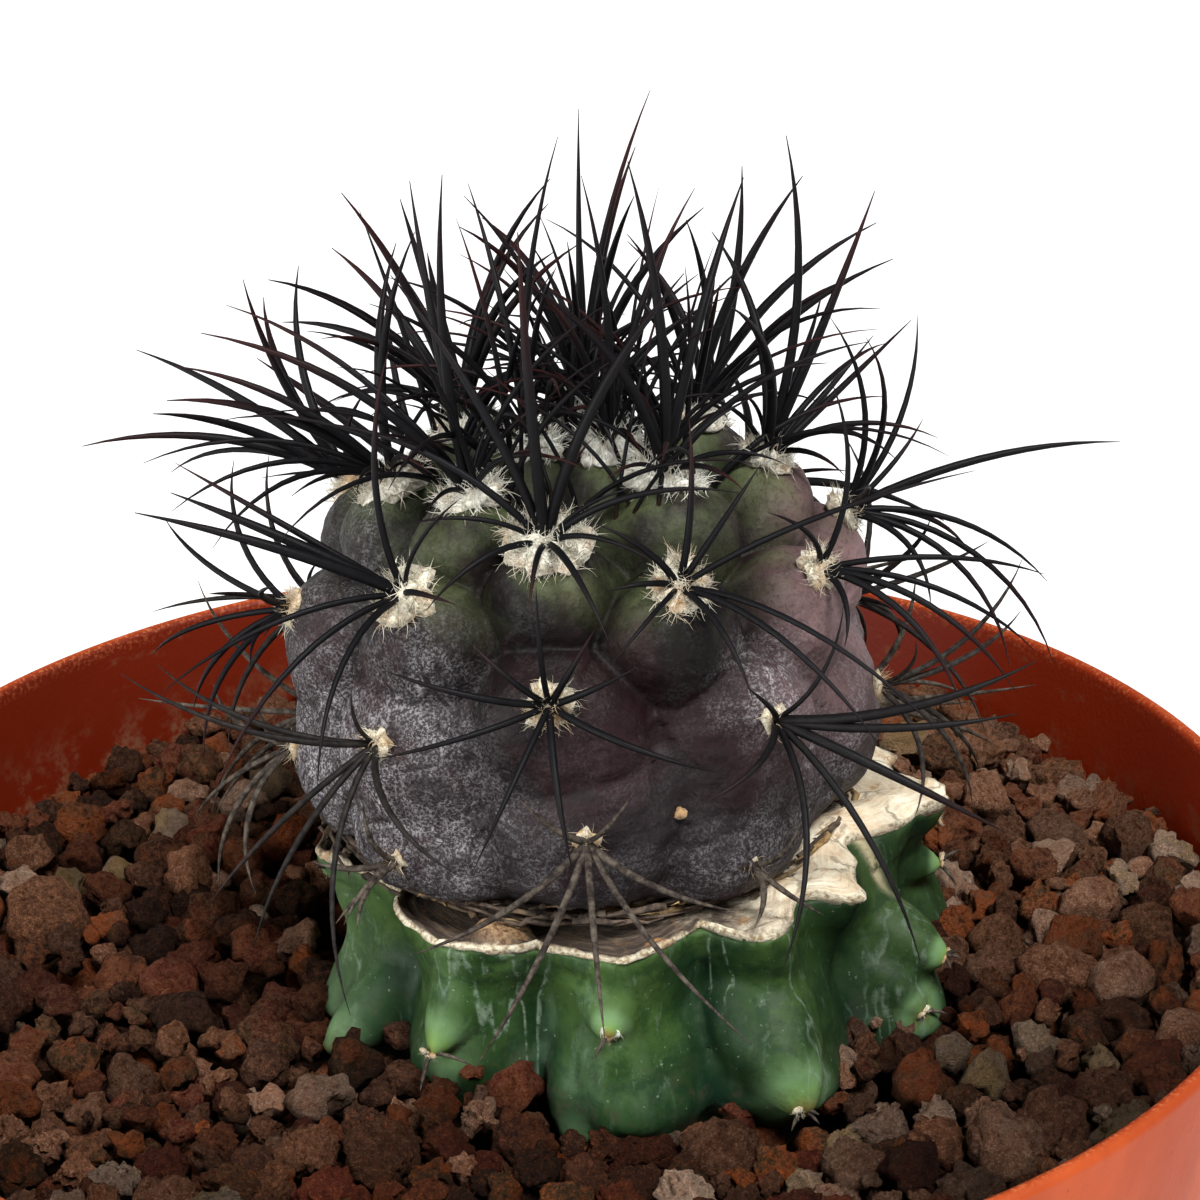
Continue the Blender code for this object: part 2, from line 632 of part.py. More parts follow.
def make_scion(group):
    """The copiapoa: skin raised into tubercles by formula, with wool and spines fused into it."""
    flesh = new_material("copiapoa_skin", (0.12, 0.10, 0.115), 0.7)
    azimuths = [-180 + 360 * step / SCION_SIDES for step in range(SCION_SIDES)]
    bottom = Vector((SCION_X, SCION_Y, SCION_BASE))
    foot = []
    for azimuth in azimuths:
        angle = math.radians(azimuth)
        foot.append(bottom + Vector((math.cos(angle), math.sin(angle), 0.0)) * SCION_FOOT_RADIUS)
    rings = [foot]
    for ring in range(SCION_RINGS):
        arc = ARCS[-1] - (ARCS[-1] - SCION_FIRST_ARC) * ring / (SCION_RINGS - 1)
        rings.append([tubercle_point(a, arc)[0] for a in azimuths])
    scion = new_object("scion", skin_rings(rings, bottom, tubercle_point(0, 0)[0]), group, flesh)
    draw = random.Random(5)
    pieces = []
    for areole in AREOLES:
        root, normal = tubercle_point(areole.azimuth, areole.arc)
        bm = bmesh.new()
        bmesh.ops.create_icosphere(bm, subdivisions=1, radius=areole.wool)
        turn = normal.to_track_quat("Z", "Y")
        for vertex in bm.verts:
            squat = Vector((vertex.co.x, vertex.co.y, vertex.co.z * WOOL_SQUAT))
            vertex.co = root + turn @ squat
        pieces.append(new_object(f"wool_{len(pieces)}", bm, group))
        for hour, lean, length in star_of(areole, draw):
            path = spine_path(areole, hour, lean, length * 0.001)
            central = lean < CENTRAL_LEAN and length > CENTRAL_LENGTH
            bm = spine_mesh(path, CENTRAL_RADIUS if central else SPINE_RADIUS, 3)
            pieces.append(new_object(f"spine_{len(pieces)}", bm, group))
    fuse(scion, group, pieces)
    shade(scion, 60)
    return scion


def main():
    clear_scene()
    parts = new_collection("grafted_copiapoa")
    cutters = new_collection("cutters")
    make_pot(parts, cutters)
    make_rootstock(parts)
    make_grit(parts, cutters)
    make_scion(parts)


main()
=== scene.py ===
# %% [markdown]
# # A grafted copiapoa in its pot
#
# The real plant is two cacti in one. A purple-grey copiapoa, a globe of tubercles with woolly areoles and
# long dark spines, was set on the cut stump of a green cactus and grew onto it. The stump stands in lava
# grit, in a thin terracotta-coloured plastic pot. This lesson dresses a plain solid model of that plant:
# every piece here keeps the place and the form of a solid, and has the detail that the solid leaves out.

# %% Load the solid model
import json
import math
import random
from collections import namedtuple
from contextlib import contextmanager

import bmesh
import bpy
import numpy as np
from mathutils import Matrix, Vector, noise

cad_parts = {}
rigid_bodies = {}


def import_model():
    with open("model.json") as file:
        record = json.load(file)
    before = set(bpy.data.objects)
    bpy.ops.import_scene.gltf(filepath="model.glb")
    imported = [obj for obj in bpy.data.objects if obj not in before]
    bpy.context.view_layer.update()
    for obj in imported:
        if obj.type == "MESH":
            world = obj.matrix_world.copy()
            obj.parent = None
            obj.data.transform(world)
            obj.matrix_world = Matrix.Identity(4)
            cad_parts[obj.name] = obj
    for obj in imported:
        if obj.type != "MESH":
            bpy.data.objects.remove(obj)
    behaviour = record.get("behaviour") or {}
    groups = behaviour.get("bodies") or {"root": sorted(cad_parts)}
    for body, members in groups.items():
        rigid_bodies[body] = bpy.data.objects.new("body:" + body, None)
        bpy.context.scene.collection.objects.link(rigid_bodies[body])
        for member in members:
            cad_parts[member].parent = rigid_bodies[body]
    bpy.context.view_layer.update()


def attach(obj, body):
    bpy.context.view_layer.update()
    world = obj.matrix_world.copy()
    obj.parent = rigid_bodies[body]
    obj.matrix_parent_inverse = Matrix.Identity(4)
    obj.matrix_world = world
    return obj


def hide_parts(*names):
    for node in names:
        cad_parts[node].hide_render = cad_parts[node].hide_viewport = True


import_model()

# %% [markdown]
# ## Camera and light
#
# The photograph looks down on the plant at about 23 degrees from close by, so the near rim of the pot is
# larger than the far one. A camera has that look only from the right distance with the right lens, so both
# were worked out from the ellipse of the pot's rim. The light is a plain studio: a pale room all round, a
# wide soft light from above the right shoulder, and a weaker lamp at the left.

# %% Camera
LENS = 90.0
SENSOR = 36.0
EYE = (0.00592, -0.21538, 0.20660)
LOOK_DOWN = 23.37
ROLL = 1.60
CLIP_START = 0.01


def new_object(name, data):
    """Show a camera, a lamp or a mesh in the scene."""
    made = bpy.data.objects.new(name, data)
    bpy.context.scene.collection.objects.link(made)
    return made


camera_data = bpy.data.cameras.new("camera")
camera_data.lens = LENS
camera_data.sensor_width = SENSOR
camera_data.clip_start = CLIP_START
camera = new_object("camera", camera_data)
tilt = Matrix.Rotation(math.radians(90 - LOOK_DOWN), 4, "X")
camera.matrix_world = Matrix.Translation(EYE) @ tilt @ Matrix.Rotation(math.radians(-ROLL), 4, "Z")
bpy.context.scene.camera = camera

# %% Lamps and room
# Kind, place, width (metres, or degrees for the sun) and power.
LAMPS = {
    "key": ("SUN", (0.35, -0.70, 1.30), 20.0, 4.6),
    "fill": ("AREA", (-0.75, -0.50, 0.40), 0.60, 8.5),
}
ROOM_LIGHT = 0.17
PLANT_MIDDLE = Vector((0, 0, 0.09))

for name, (kind, place, width, power) in LAMPS.items():
    light = bpy.data.lights.new(name, kind)
    if kind == "SUN":
        light.angle = math.radians(width)
    else:
        light.size = width
    light.energy = power
    lamp = new_object(name, light)
    lamp.location = place
    lamp.rotation_euler = (PLANT_MIDDLE - Vector(place)).to_track_quat("-Z", "Y").to_euler()
world = bpy.data.worlds.new("room")
world.use_nodes = True
walls = world.node_tree.nodes["Background"].inputs
walls["Color"].default_value = (1.0, 1.0, 1.0, 1.0)
walls["Strength"].default_value = ROOM_LIGHT
bpy.context.scene.world = world
bpy.context.scene.view_settings.view_transform = "Standard"

# %% [markdown]
# ## Nodes written as sums
#
# A material or a Geometry Nodes tree made by hand is a web of boxes. In a script it reads better as sums, so
# a small class wraps a node's output and turns +, - and * into Math nodes. One function adds any other
# node. The same two serve for shaders and for geometry. A second class is a material: it holds the colour
# so far, and each layer of dust, wax or chalk is laid over it with a share between 0 and 1.

# %% Sockets that add up
class Wire:
    """A node's output that can be added, multiplied and so on like a number."""

    def __init__(self, tree, socket):
        self.tree = tree
        self.socket = socket

    def sum(self, operation, first, second):
        return add_node(self.tree, "ShaderNodeMath", {"operation": operation}, [first, second])

    def __add__(self, other):
        return self.sum("ADD", self, other)

    def __sub__(self, other):
        return self.sum("SUBTRACT", self, other)

    def __rsub__(self, other):
        return self.sum("SUBTRACT", other, self)

    def __mul__(self, other):
        return self.sum("MULTIPLY", self, other)

    def least(self, other):
        return self.sum("MINIMUM", self, other)

    def between(self, low, high):
        """0 below low, 1 above high, and a smooth rise in between."""
        settings = {"interpolation_type": "SMOOTHSTEP"}
        values = {"Value": self, "From Min": low, "From Max": high}
        return add_node(self.tree, "ShaderNodeMapRange", settings, values)

    __radd__ = __add__
    __rmul__ = __mul__


def add_node(tree, kind, settings, values, output=0):
    """Add a node: first its settings, then the values or wires of its sockets."""
    made = tree.nodes.new(kind)
    for name, value in settings.items():
        if name == "stops":
            while len(made.color_ramp.elements) < len(value):
                made.color_ramp.elements.new(1.0)
            for element, (place, colour) in zip(made.color_ramp.elements, value):
                element.position = place
                element.color = (*colour, 1.0)
        else:
            setattr(made, name, value)
    for name, value in values.items() if isinstance(values, dict) else enumerate(values):
        if isinstance(value, Wire):
            tree.links.new(value.socket, made.inputs[name])
        else:
            made.inputs[name].default_value = value
    return Wire(tree, made.outputs[output])


# %% A material whose colour is laid on in layers
class Finish:
    """A material on the object's own coordinates, whose colour is laid on in layers."""

    def __init__(self, name, **constants):
        self.material = bpy.data.materials.new(name)
        self.material.use_nodes = True
        self.tree = self.material.node_tree
        self.shader = self.tree.nodes["Principled BSDF"]
        for label, value in constants.items():
            self.shader.inputs[label.replace("_", " ").title().replace("Ior", "IOR")].default_value = value
        self.place = self.node("ShaderNodeTexCoord", {}, {}, "Object")
        self.colour = None

    def node(self, kind, settings, values, output=0):
        return add_node(self.tree, kind, settings, values, output)

    def grain(self, scale, detail=3.0, roughness=0.55, distortion=0.0, place=None):
        """Noise round 0.5; a larger scale is finer."""
        values = {"Vector": place or self.place, "Scale": scale, "Detail": detail,
                  "Roughness": roughness, "Distortion": distortion}
        return self.node("ShaderNodeTexNoise", {}, values, "Fac")

    def cell_edges(self, scale, place):
        """Distance from the nearest edge between cells."""
        settings = {"feature": "DISTANCE_TO_EDGE"}
        return self.node("ShaderNodeTexVoronoi", settings, {"Vector": place, "Scale": scale}, "Distance")

    def kept(self, *names):
        """Numbers that are kept on the points of the mesh."""
        return [self.node("ShaderNodeAttribute", {"attribute_name": name}, {}, "Fac") for name in names]

    def axis(self, letter):
        """One of the three coordinates."""
        return self.node("ShaderNodeSeparateXYZ", {}, {"Vector": self.place}, letter)

    def drawn_out(self, height):
        """A place for noise that is long up and down if height is under 1, and flat if it is over 1."""
        return self.node("ShaderNodeMapping", {}, {"Vector": self.place, "Scale": (1.0, 1.0, height)})

    def warped(self, place, scale, amount):
        """A place that smooth noise has moved about."""
        push = self.node("ShaderNodeTexNoise", {}, {"Vector": place, "Scale": scale}, "Color")
        push = self.node("ShaderNodeVectorMath", {"operation": "SCALE"}, {0: push, "Scale": amount})
        return self.node("ShaderNodeVectorMath", {"operation": "ADD"}, [place, push])

    def mix(self, first, second, share):
        values = {0: share}
        for index, colour in ((6, first), (7, second)):
            values[index] = colour if isinstance(colour, Wire) else (*colour, 1.0)
        return self.node("ShaderNodeMix", {"data_type": "RGBA"}, values, 2)

    def lay(self, colour, share):
        """Lay a colour over the colour so far."""
        self.colour = self.mix(self.colour, colour, share)

    def ramp(self, value, stops):
        return self.node("ShaderNodeValToRGB", {"stops": stops}, {"Fac": value}, "Color")

    def set(self, label, wire):
        self.tree.links.new(wire.socket, self.shader.inputs[label])

    def paint(self):
        self.set("Base Color", self.colour)

    def bump(self, height, strength, distance):
        values = {"Height": height, "Strength": strength, "Distance": distance}
        self.set("Normal", self.node("ShaderNodeBump", {}, values, "Normal"))


# %% [markdown]
# ## Making and finishing meshes
#
# Each piece ends as one plain mesh that sits at the origin. A Geometry Nodes tree is built in code, its
# modifier gets its inputs by their identifiers, and the result replaces the mesh before the modifier goes.

# %% Helpers for meshes
def new_piece(name, mesh, finish, node):
    """Put a finished mesh in the scene as a piece that stands for a node of the solid model."""
    piece = new_object(name, mesh)
    if finish and not mesh.materials:
        mesh.materials.append(finish.material)
    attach(piece, "root")
    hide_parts(node)
    mesh.calc_loop_triangles()
    print(f"{name}: {len(mesh.loop_triangles)} triangles")


@contextmanager
def edited(mesh):
    """Open a mesh for edits of its points and faces, and write them back at the end."""
    bm = bmesh.new()
    bm.from_mesh(mesh)
    yield bm
    bm.to_mesh(mesh)
    bm.free()


def evaluated_mesh(mesh, add_modifiers):
    """Mesh that a temporary object has under its modifiers."""
    helper = new_object("helper", mesh)
    add_modifiers(helper)
    graph = bpy.context.evaluated_depsgraph_get()
    graph.update()
    result = bpy.data.meshes.new_from_object(helper.evaluated_get(graph))
    bpy.data.objects.remove(helper, do_unlink=True)
    return result


def grown_mesh(mesh, tree, inputs):
    """Mesh that a Geometry Nodes tree makes of another, with its named inputs set."""
    def add_tree(helper):
        modifier = helper.modifiers.new(tree.name, "NODES")
        modifier.node_group = tree
        for name, value in inputs.items():
            modifier[tree.interface.items_tree[name].identifier] = value
    return evaluated_mesh(mesh, add_tree)


def new_tree(name, inputs):
    """Geometry Nodes tree with a mesh input, named inputs and a mesh output."""
    tree = bpy.data.node_groups.new(name, "GeometryNodeTree")
    tree.interface.new_socket("Source", in_out="INPUT", socket_type="NodeSocketGeometry")
    for label, kind in inputs.items():
        tree.interface.new_socket(label, in_out="INPUT", socket_type="NodeSocket" + kind)
    tree.interface.new_socket("Result", in_out="OUTPUT", socket_type="NodeSocketGeometry")
    group = tree.nodes.new("NodeGroupInput")
    wires = {socket.name: Wire(tree, socket) for socket in group.outputs if socket.name}
    return tree, wires


def end_tree(tree, wires, geometry):
    """Close a tree: no instances left, smooth faces and the material."""
    geometry = add_node(tree, "GeometryNodeRealizeInstances", {}, {"Geometry": geometry})
    geometry = add_node(tree, "GeometryNodeSetShadeSmooth", {}, {"Geometry": geometry})
    values = {"Geometry": geometry, "Material": wires["Material"]}
    geometry = add_node(tree, "GeometryNodeSetMaterial", {}, values)
    output = tree.nodes.new("NodeGroupOutput")
    tree.links.new(geometry.socket, output.inputs["Result"])


def named(tree, name):
    """Number kept on the points of the mesh that a tree gets."""
    return add_node(tree, "GeometryNodeInputNamedAttribute", {"data_type": "FLOAT"}, {"Name": name})


def drawn(tree, kind, values):
    """Random value for each point, between two values."""
    output = ("FLOAT_VECTOR", "FLOAT", "INT").index(kind)
    return add_node(tree, "FunctionNodeRandomValue", {"data_type": kind}, values, output)


def store(mesh, **fields):
    """Keep numbers or vectors on the points of a mesh, for its material or its tree."""
    for name, values in fields.items():
        values = np.asarray(values, dtype=np.float32)
        kind, field = ("FLOAT", "value") if values.ndim == 1 else ("FLOAT_VECTOR", "vector")
        mesh.attributes.new(name, kind, "POINT").data.foreach_set(field, values.ravel())


def mesh_points(mesh):
    """Places of a mesh's points, as rows of x, y and z."""
    points = np.empty(len(mesh.vertices) * 3, dtype=np.float32)
    mesh.vertices.foreach_get("co", points)
    return points.reshape(-1, 3).astype(float)


def move_points(mesh, points):
    """Write changed places back to a mesh."""
    mesh.vertices.foreach_set("co", np.asarray(points, dtype=np.float32).ravel())
    mesh.update()


def grid_mesh(name, rows, closed_ends):
    """Closed skin over rows of points that run round an axis, with a point at each end."""
    count, around = len(rows), len(rows[0])
    points = [tuple(point) for row in rows for point in row]
    faces = []
    for row in range(count - 1):
        for i in range(around):
            j = (i + 1) % around
            faces.append((row * around + i, row * around + j, (row + 1) * around + j, (row + 1) * around + i))
    for row, end in ((0, closed_ends[0]), (count - 1, closed_ends[1])):
        points.append(tuple(end))
        for i in range(around):
            j = (i + 1) % around
            faces.append((row * around + i, row * around + j, len(points) - 1))
    mesh = bpy.data.meshes.new(name)
    mesh.from_pydata(points, [], faces)
    with edited(mesh) as bm:
        bmesh.ops.recalc_face_normals(bm, faces=bm.faces)
    mesh.shade_smooth()
    return mesh


def rough(points, scale):
    """Smooth noise from -1 to 1 at each point, in two octaves."""
    return np.array([noise.fractal(Vector(point) * scale, 0.8, 2.0, 2) for point in points])


def directions(count):
    """Even directions all round, in degrees."""
    return np.linspace(-180, 180, count, endpoint=False)


# %% [markdown]
# ## The pot
#
# The pot is one moulding: a thin tapering wall that ends in a small rounded lip, and a base with a raised
# ring of drain holes. It could be a cylinder with edits, but a turned outline says all of it in a dozen
# points, and a Screw modifier turns it as smoothly as is wanted. The holes are cut by Boolean.

# %% Turn the pot
POT_HEIGHT = 0.092
POT_RIM_RADIUS = 0.060
POT_BASE_RADIUS = 0.044
POT_WALL = 0.0014
POT_FLOOR = 0.0022
POT_STEPS = 168
WALL_POINTS = 8
LIP_POINTS = 9
BASE_CHANNEL = (0.027, 0.039)
BASE_CHANNEL_DEPTH = 0.002
FLOOR_FILLET = 0.0010
DRAIN_HOLES = 8
DRAIN_RADIUS = 0.0034
SHARP_ANGLE = 40


def pot_inner_radius(height):
    """Radius of the inner wall, which widens evenly."""
    return POT_BASE_RADIUS + (POT_RIM_RADIUS - POT_BASE_RADIUS) * height / POT_HEIGHT - POT_WALL


def pot_outline():
    """Outline from the middle of the floor up the inner wall, over the lip and down, as (radius, height)."""
    floor_top = BASE_CHANNEL_DEPTH + POT_FLOOR
    channel_in, channel_out = BASE_CHANNEL
    lip = POT_WALL / 2
    outline = [(0.0, floor_top), (pot_inner_radius(floor_top) - FLOOR_FILLET, floor_top)]
    wall_foot = floor_top + FLOOR_FILLET
    for step in range(WALL_POINTS):
        height = wall_foot + (POT_HEIGHT - POT_WALL - floor_top - FLOOR_FILLET) * step / (WALL_POINTS - 1)
        outline.append((pot_inner_radius(height), height))
    for step in range(LIP_POINTS):
        angle = math.pi * (1 - step / (LIP_POINTS - 1))
        radius = POT_RIM_RADIUS - lip + lip * math.cos(angle)
        outline.append((radius, POT_HEIGHT - lip + lip * math.sin(angle)))
    outline += [
        (POT_BASE_RADIUS, FLOOR_FILLET),
        (POT_BASE_RADIUS - FLOOR_FILLET, 0.0),
        (channel_out, 0.0),
        (channel_out, BASE_CHANNEL_DEPTH),
        (channel_in, BASE_CHANNEL_DEPTH),
        (channel_in, 0.0),
        (0.0, 0.0),
    ]
    return outline


def pot_mesh():
    """Pot turned from its outline and drilled, with its inner wall marked for the colour."""
    outline = pot_outline()
    profile = bpy.data.meshes.new("pot_outline")
    profile.from_pydata([(r, 0.0, z) for r, z in outline], [(i, i + 1) for i in range(len(outline) - 1)], [])
    drills = new_object("drills", bpy.data.meshes.new("drills"))
    ring = sum(BASE_CHANNEL) / 2
    with edited(drills.data) as bm:
        for number in range(DRAIN_HOLES):
            angle = 2 * math.pi * (number + 0.5) / DRAIN_HOLES
            place = Matrix.Translation((ring * math.cos(angle), ring * math.sin(angle), POT_FLOOR))
            bmesh.ops.create_cone(bm, cap_ends=True, segments=24, radius1=DRAIN_RADIUS, radius2=DRAIN_RADIUS,
                                  depth=4 * POT_FLOOR, matrix=place)

    def turn(helper):
        screw = helper.modifiers.new("Turn", "SCREW")
        screw.steps = screw.render_steps = POT_STEPS
        screw.use_merge_vertices = True
        screw.merge_threshold = 0.00001
        cut = helper.modifiers.new("Drain", "BOOLEAN")
        cut.operation = "DIFFERENCE"
        cut.object = drills

    mesh = evaluated_mesh(profile, turn)
    bpy.data.objects.remove(drills, do_unlink=True)
    points = mesh_points(mesh)
    wall = np.hypot(points[:, 0], points[:, 1]) - pot_inner_radius(points[:, 2])
    store(mesh, inside=np.clip(1 - wall / (POT_WALL * 0.75), 0, 1))
    mesh.shade_smooth()
    mesh.set_sharp_from_angle(angle=math.radians(SHARP_ANGLE))
    return mesh


# %% Pot plastic: satin orange, fine grain, a painted lip highlight, dust, dampness and painted shade inside
def pot_finish():
    """Satin orange plastic with a fine grain, a painted lip highlight, and dust, dampness and painted shade
    inside.
    """
    finish = Finish("pot_plastic", specular_ior_level=0.18)
    inside, = finish.kept("inside")
    cloud = finish.grain(26, 4, 0.6)
    orange = finish.mix((0.36, 0.052, 0.010), (0.44, 0.075, 0.017), cloud)
    streak = finish.grain(70, 5, 0.65, place=finish.drawn_out(0.35)).between(0.42, 0.62)
    orange = finish.mix(orange, (0.25, 0.030, 0.006), streak * 0.45)
    orange = finish.mix(orange, (0.150, 0.020, 0.006), finish.grain(700, 3, 0.6).between(0.66, 0.72) * 0.5)
    # The inner wall is dark from dampness and dirt and from painted shade; painted light lifts its right side
    # and painted shade darkens its left.
    damp_and_painted_shade = finish.mix((0.095, 0.0060, 0.0006), (0.140, 0.011, 0.001), finish.grain(60, 4, 0.65))
    across = finish.axis("X")
    damp_and_painted_shade = finish.mix(damp_and_painted_shade, (0.270, 0.020, 0.002), across.between(0.030, 0.058) * 0.85)
    damp_and_painted_shade = finish.mix(damp_and_painted_shade, (0.060, 0.0040, 0.0006), (1 - across.between(-0.058, -0.028)) * 0.4)
    finish.colour = finish.mix(orange, damp_and_painted_shade, inside.between(0.15, 0.95))
    dust_line = (1 - finish.axis("Z").between(0.079, 0.088)) * finish.grain(210, 5, 0.7).between(0.46, 0.62)
    smear = finish.grain(85, 4, 0.7, place=finish.drawn_out(2.4)).between(0.58, 0.68)
    speckle = finish.grain(900, 4, 0.7).between(0.35, 0.60)
    dust = ((dust_line * 0.65 + smear * 0.35) * speckle * inside).least(0.7)
    finish.lay((0.17, 0.090, 0.045), dust)
    # A grainy painted highlight along the lip.
    grainy = finish.grain(2600, 3, 0.7).between(0.48, 0.66) * (inside * (1 - inside) * 4)
    finish.lay((0.60, 0.18, 0.07), grainy * 0.5)
    finish.paint()
    finish.set("Roughness", 0.40 + finish.grain(420, 3) * 0.16 + dust * 0.3)
    finish.bump(finish.grain(2600, 2) * 0.6 + finish.grain(500, 2) * 0.4, 0.12, 0.0004)
    return finish


new_piece("pot_turned", pot_mesh(), pot_finish(), "pot")

# %% [markdown]
# ## The rootstock
#
# The green stump has ten ribs with round crests and sharp grooves, and blunt tubercles that grow out of the
# crests without an edge. A rule gives the ribs, as a radius for each direction and height. The tubercles are
# squashed balls, and a voxel remesh melts both into one skin, which a few rounds of smoothing then relax.

# %% Ribs by rule, tubercles by list
GRIT_LEVEL = 0.0822
STOCK_CENTRE = (0.0083, -0.0015)
STOCK_TOP = 0.0966
STOCK_RADIUS = 0.0254
STOCK_SWELL = 0.0010
STOCK_WAIST = 0.0015
STOCK_GROOVE = 0.0042
# The foot is drawn in under the first tubercle: degrees, width in degrees, depth. It fades with height.
STOCK_TUCK = (-119, 17, 0.0024)
TUCK_REACH = 0.42
STOCK_RIBS = (-165, -128, -94, -61, -25, 8, 44, 80, 115, 153)
STOCK_FOOT = 0.0590
STOCK_ROOT_DEPTH = 1.7
STOCK_ROOT_TAPER = 0.75
PEG_SUNK = 0.0020
PEG_TAPER = 0.38
CUT_SHOULDER = 0.0885
# Where the cut's edge lies inside the ribs: degrees, width in degrees, share of the radius.
CUT_NOTCHES = (
    (-26, 9, 0.25), (-56, 6, 0.12), (9, 6, 0.13), (-5, 7, -0.16), (-45, 4, -0.15), (-69, 6, -0.06),
    (-113, 8, -0.10), (-143, 8, -0.10), (-168, 7, -0.08),
)
# The cut slopes down towards the front left: degrees, width in degrees, drop.
CUT_DROP = (-128, 32, 0.0014)
# Share of the cut's radius, and how far the dished cut lies below its rim.
CUT_DISH = ((0.0, 0.0013), (0.70, 0.0013), (0.86, 0.0011), (0.945, 0.0007), (0.985, 0.0), (1.0, 0.0002))
STOCK_AROUND = 300
STOCK_ROWS = 70
STOCK_VOXEL = 0.00045
STOCK_RELAX = 5
# Rings of the skin and of the cork's underside, as shares of the cut's radius.
CUT_RINGS = (0.985, 0.945, 0.86, 0.70)
CORK_RINGS = (0.985, 0.9, 0.5)
# Unevenness of the skin, coarse and fine and drawn out upwards: scale and height.
STOCK_LUMPS = ((180, 0.00050), (700, 0.00016))
STOCK_LEVEL_TOP = 0.0025
# Reach of the pale tips, as a share of a tubercle's length, and what each degree of droop adds.
TIP_REACH = (0.46, 0.011)
# How far the skin stays below the cork, and below the top at the cut's edge.
CUT_SUNK = 0.0003
EDGE_SUNK = 0.0001
# Cork has filled the cut on the right: degrees, width in degrees, how full.
FILLING = (-12, 52, 1.25)
# A pale upright scar: degrees and width in degrees.
SCAR = (-23, 1.3)
SCAR_FOOT = 0.0915

Peg = namedtuple("Peg", "azimuth height length radius droop")
# Degrees round the stock's axis, height, length, radius, degrees down. The last two end in the grit.
BURIED_PEGS = 2
PEGS = [
    Peg(-128, 0.0898, 0.0060, 0.0027, 38),
    Peg(-96, 0.0914, 0.0040, 0.0030, 15),
    Peg(-65, 0.0870, 0.0070, 0.0042, 35),
    Peg(-26, 0.0890, 0.0048, 0.0031, 10),
    Peg(-31, 0.0862, 0.0040, 0.0026, 32),
    Peg(0, 0.0936, 0.0042, 0.0025, -8),
    Peg(0, 0.0906, 0.0048, 0.0025, 5),
    Peg(-166, 0.0942, 0.0030, 0.0022, -5),
    Peg(44, 0.0895, 0.0058, 0.0030, 12),
    Peg(80, 0.0880, 0.0056, 0.0031, 25),
    Peg(115, 0.0905, 0.0058, 0.0029, 8),
    Peg(153, 0.0880, 0.0056, 0.0031, 20),
    Peg(-155, 0.0845, 0.0064, 0.0032, 32),
    Peg(-103, 0.0828, 0.0044, 0.0027, 58),
]


def hill(azimuth, centre, width, height=1.0):
    """A smooth rise round a direction."""
    return height * np.exp(-(((np.asarray(azimuth) - centre + 180) % 360 - 180) / width) ** 2)


def rib_share(azimuth):
    """1 on a rib's crest and 0 in a groove, for directions in degrees."""
    ribs = sorted(STOCK_RIBS)
    ribs = [ribs[-1] - 360] + ribs + [ribs[0] + 360]
    azimuth = (np.asarray(azimuth) + 180) % 360 - 180
    share = np.interp(azimuth, ribs, range(len(ribs))) % 1
    return np.abs(2 * share - 1)


def stock_radius(azimuth, height):
    """Radius of the rootstock: round crests, sharp grooves, a narrow buried stem."""
    above = (np.asarray(height) - GRIT_LEVEL) / (STOCK_TOP - GRIT_LEVEL)
    depth = np.clip(-above / STOCK_ROOT_DEPTH, 0, 1)
    swell = np.where(above >= 0, STOCK_SWELL * np.cos(np.pi * above), STOCK_SWELL)
    waist = STOCK_WAIST * np.sin(np.pi * np.clip(above, 0, 1)) ** 2
    tuck = hill(azimuth, *STOCK_TUCK) * np.clip(1 - above / TUCK_REACH, 0, 1)
    crest = (STOCK_RADIUS + swell) * (1 - STOCK_ROOT_TAPER * depth) - waist - tuck * (1 - depth)
    return crest - STOCK_GROOVE * (1 - depth) * (1 - rib_share(azimuth)) ** 1.3


def cut_radius(azimuth):
    """Radius of the healed cut, which lies inside some of the ribs on the right."""
    inside = sum(hill(azimuth, *notch) for notch in CUT_NOTCHES)
    return stock_radius(azimuth, STOCK_TOP) * (1 - inside)


def filled_share(azimuth):
    """How far cork has filled the cut, from 0 to 1."""
    return np.clip(hill(azimuth, *FILLING), 0, 1)


def cut_depth(azimuth, share):
    """Depth of the cut below its top: dished at the front, level where cork has filled it on the right."""
    dish = np.interp(share, *zip(*CUT_DISH)) * (1 - filled_share(azimuth))
    return dish + hill(azimuth, *CUT_DROP) * np.clip(share, 0, 1) ** 2


def on_ring(azimuth, radius, height, centre=STOCK_CENTRE):
    """Points at directions and distances from an axis, which is the rootstock's if no other is given."""
    angle = np.radians(azimuth)
    x = centre[0] + radius * np.cos(angle)
    y = centre[1] + radius * np.sin(angle)
    return np.stack(np.broadcast_arrays(x, y, height), -1)


def stock_polar(points):
    """Directions and distances of points from the rootstock's axis."""
    away = np.asarray(points)[..., :2] - STOCK_CENTRE
    return np.degrees(np.arctan2(away[..., 1], away[..., 0])), np.linalg.norm(away, axis=-1)


def peg_frame(peg):
    """Root of a tubercle, sunk into the skin, and the way it points."""
    outward, droop = math.radians(peg.azimuth), math.radians(peg.droop)
    aim = Vector((math.cos(outward) * math.cos(droop), math.sin(outward) * math.cos(droop), -math.sin(droop)))
    root = on_ring(peg.azimuth, stock_radius(peg.azimuth, peg.height) - PEG_SUNK, peg.height)
    return Vector(root), aim


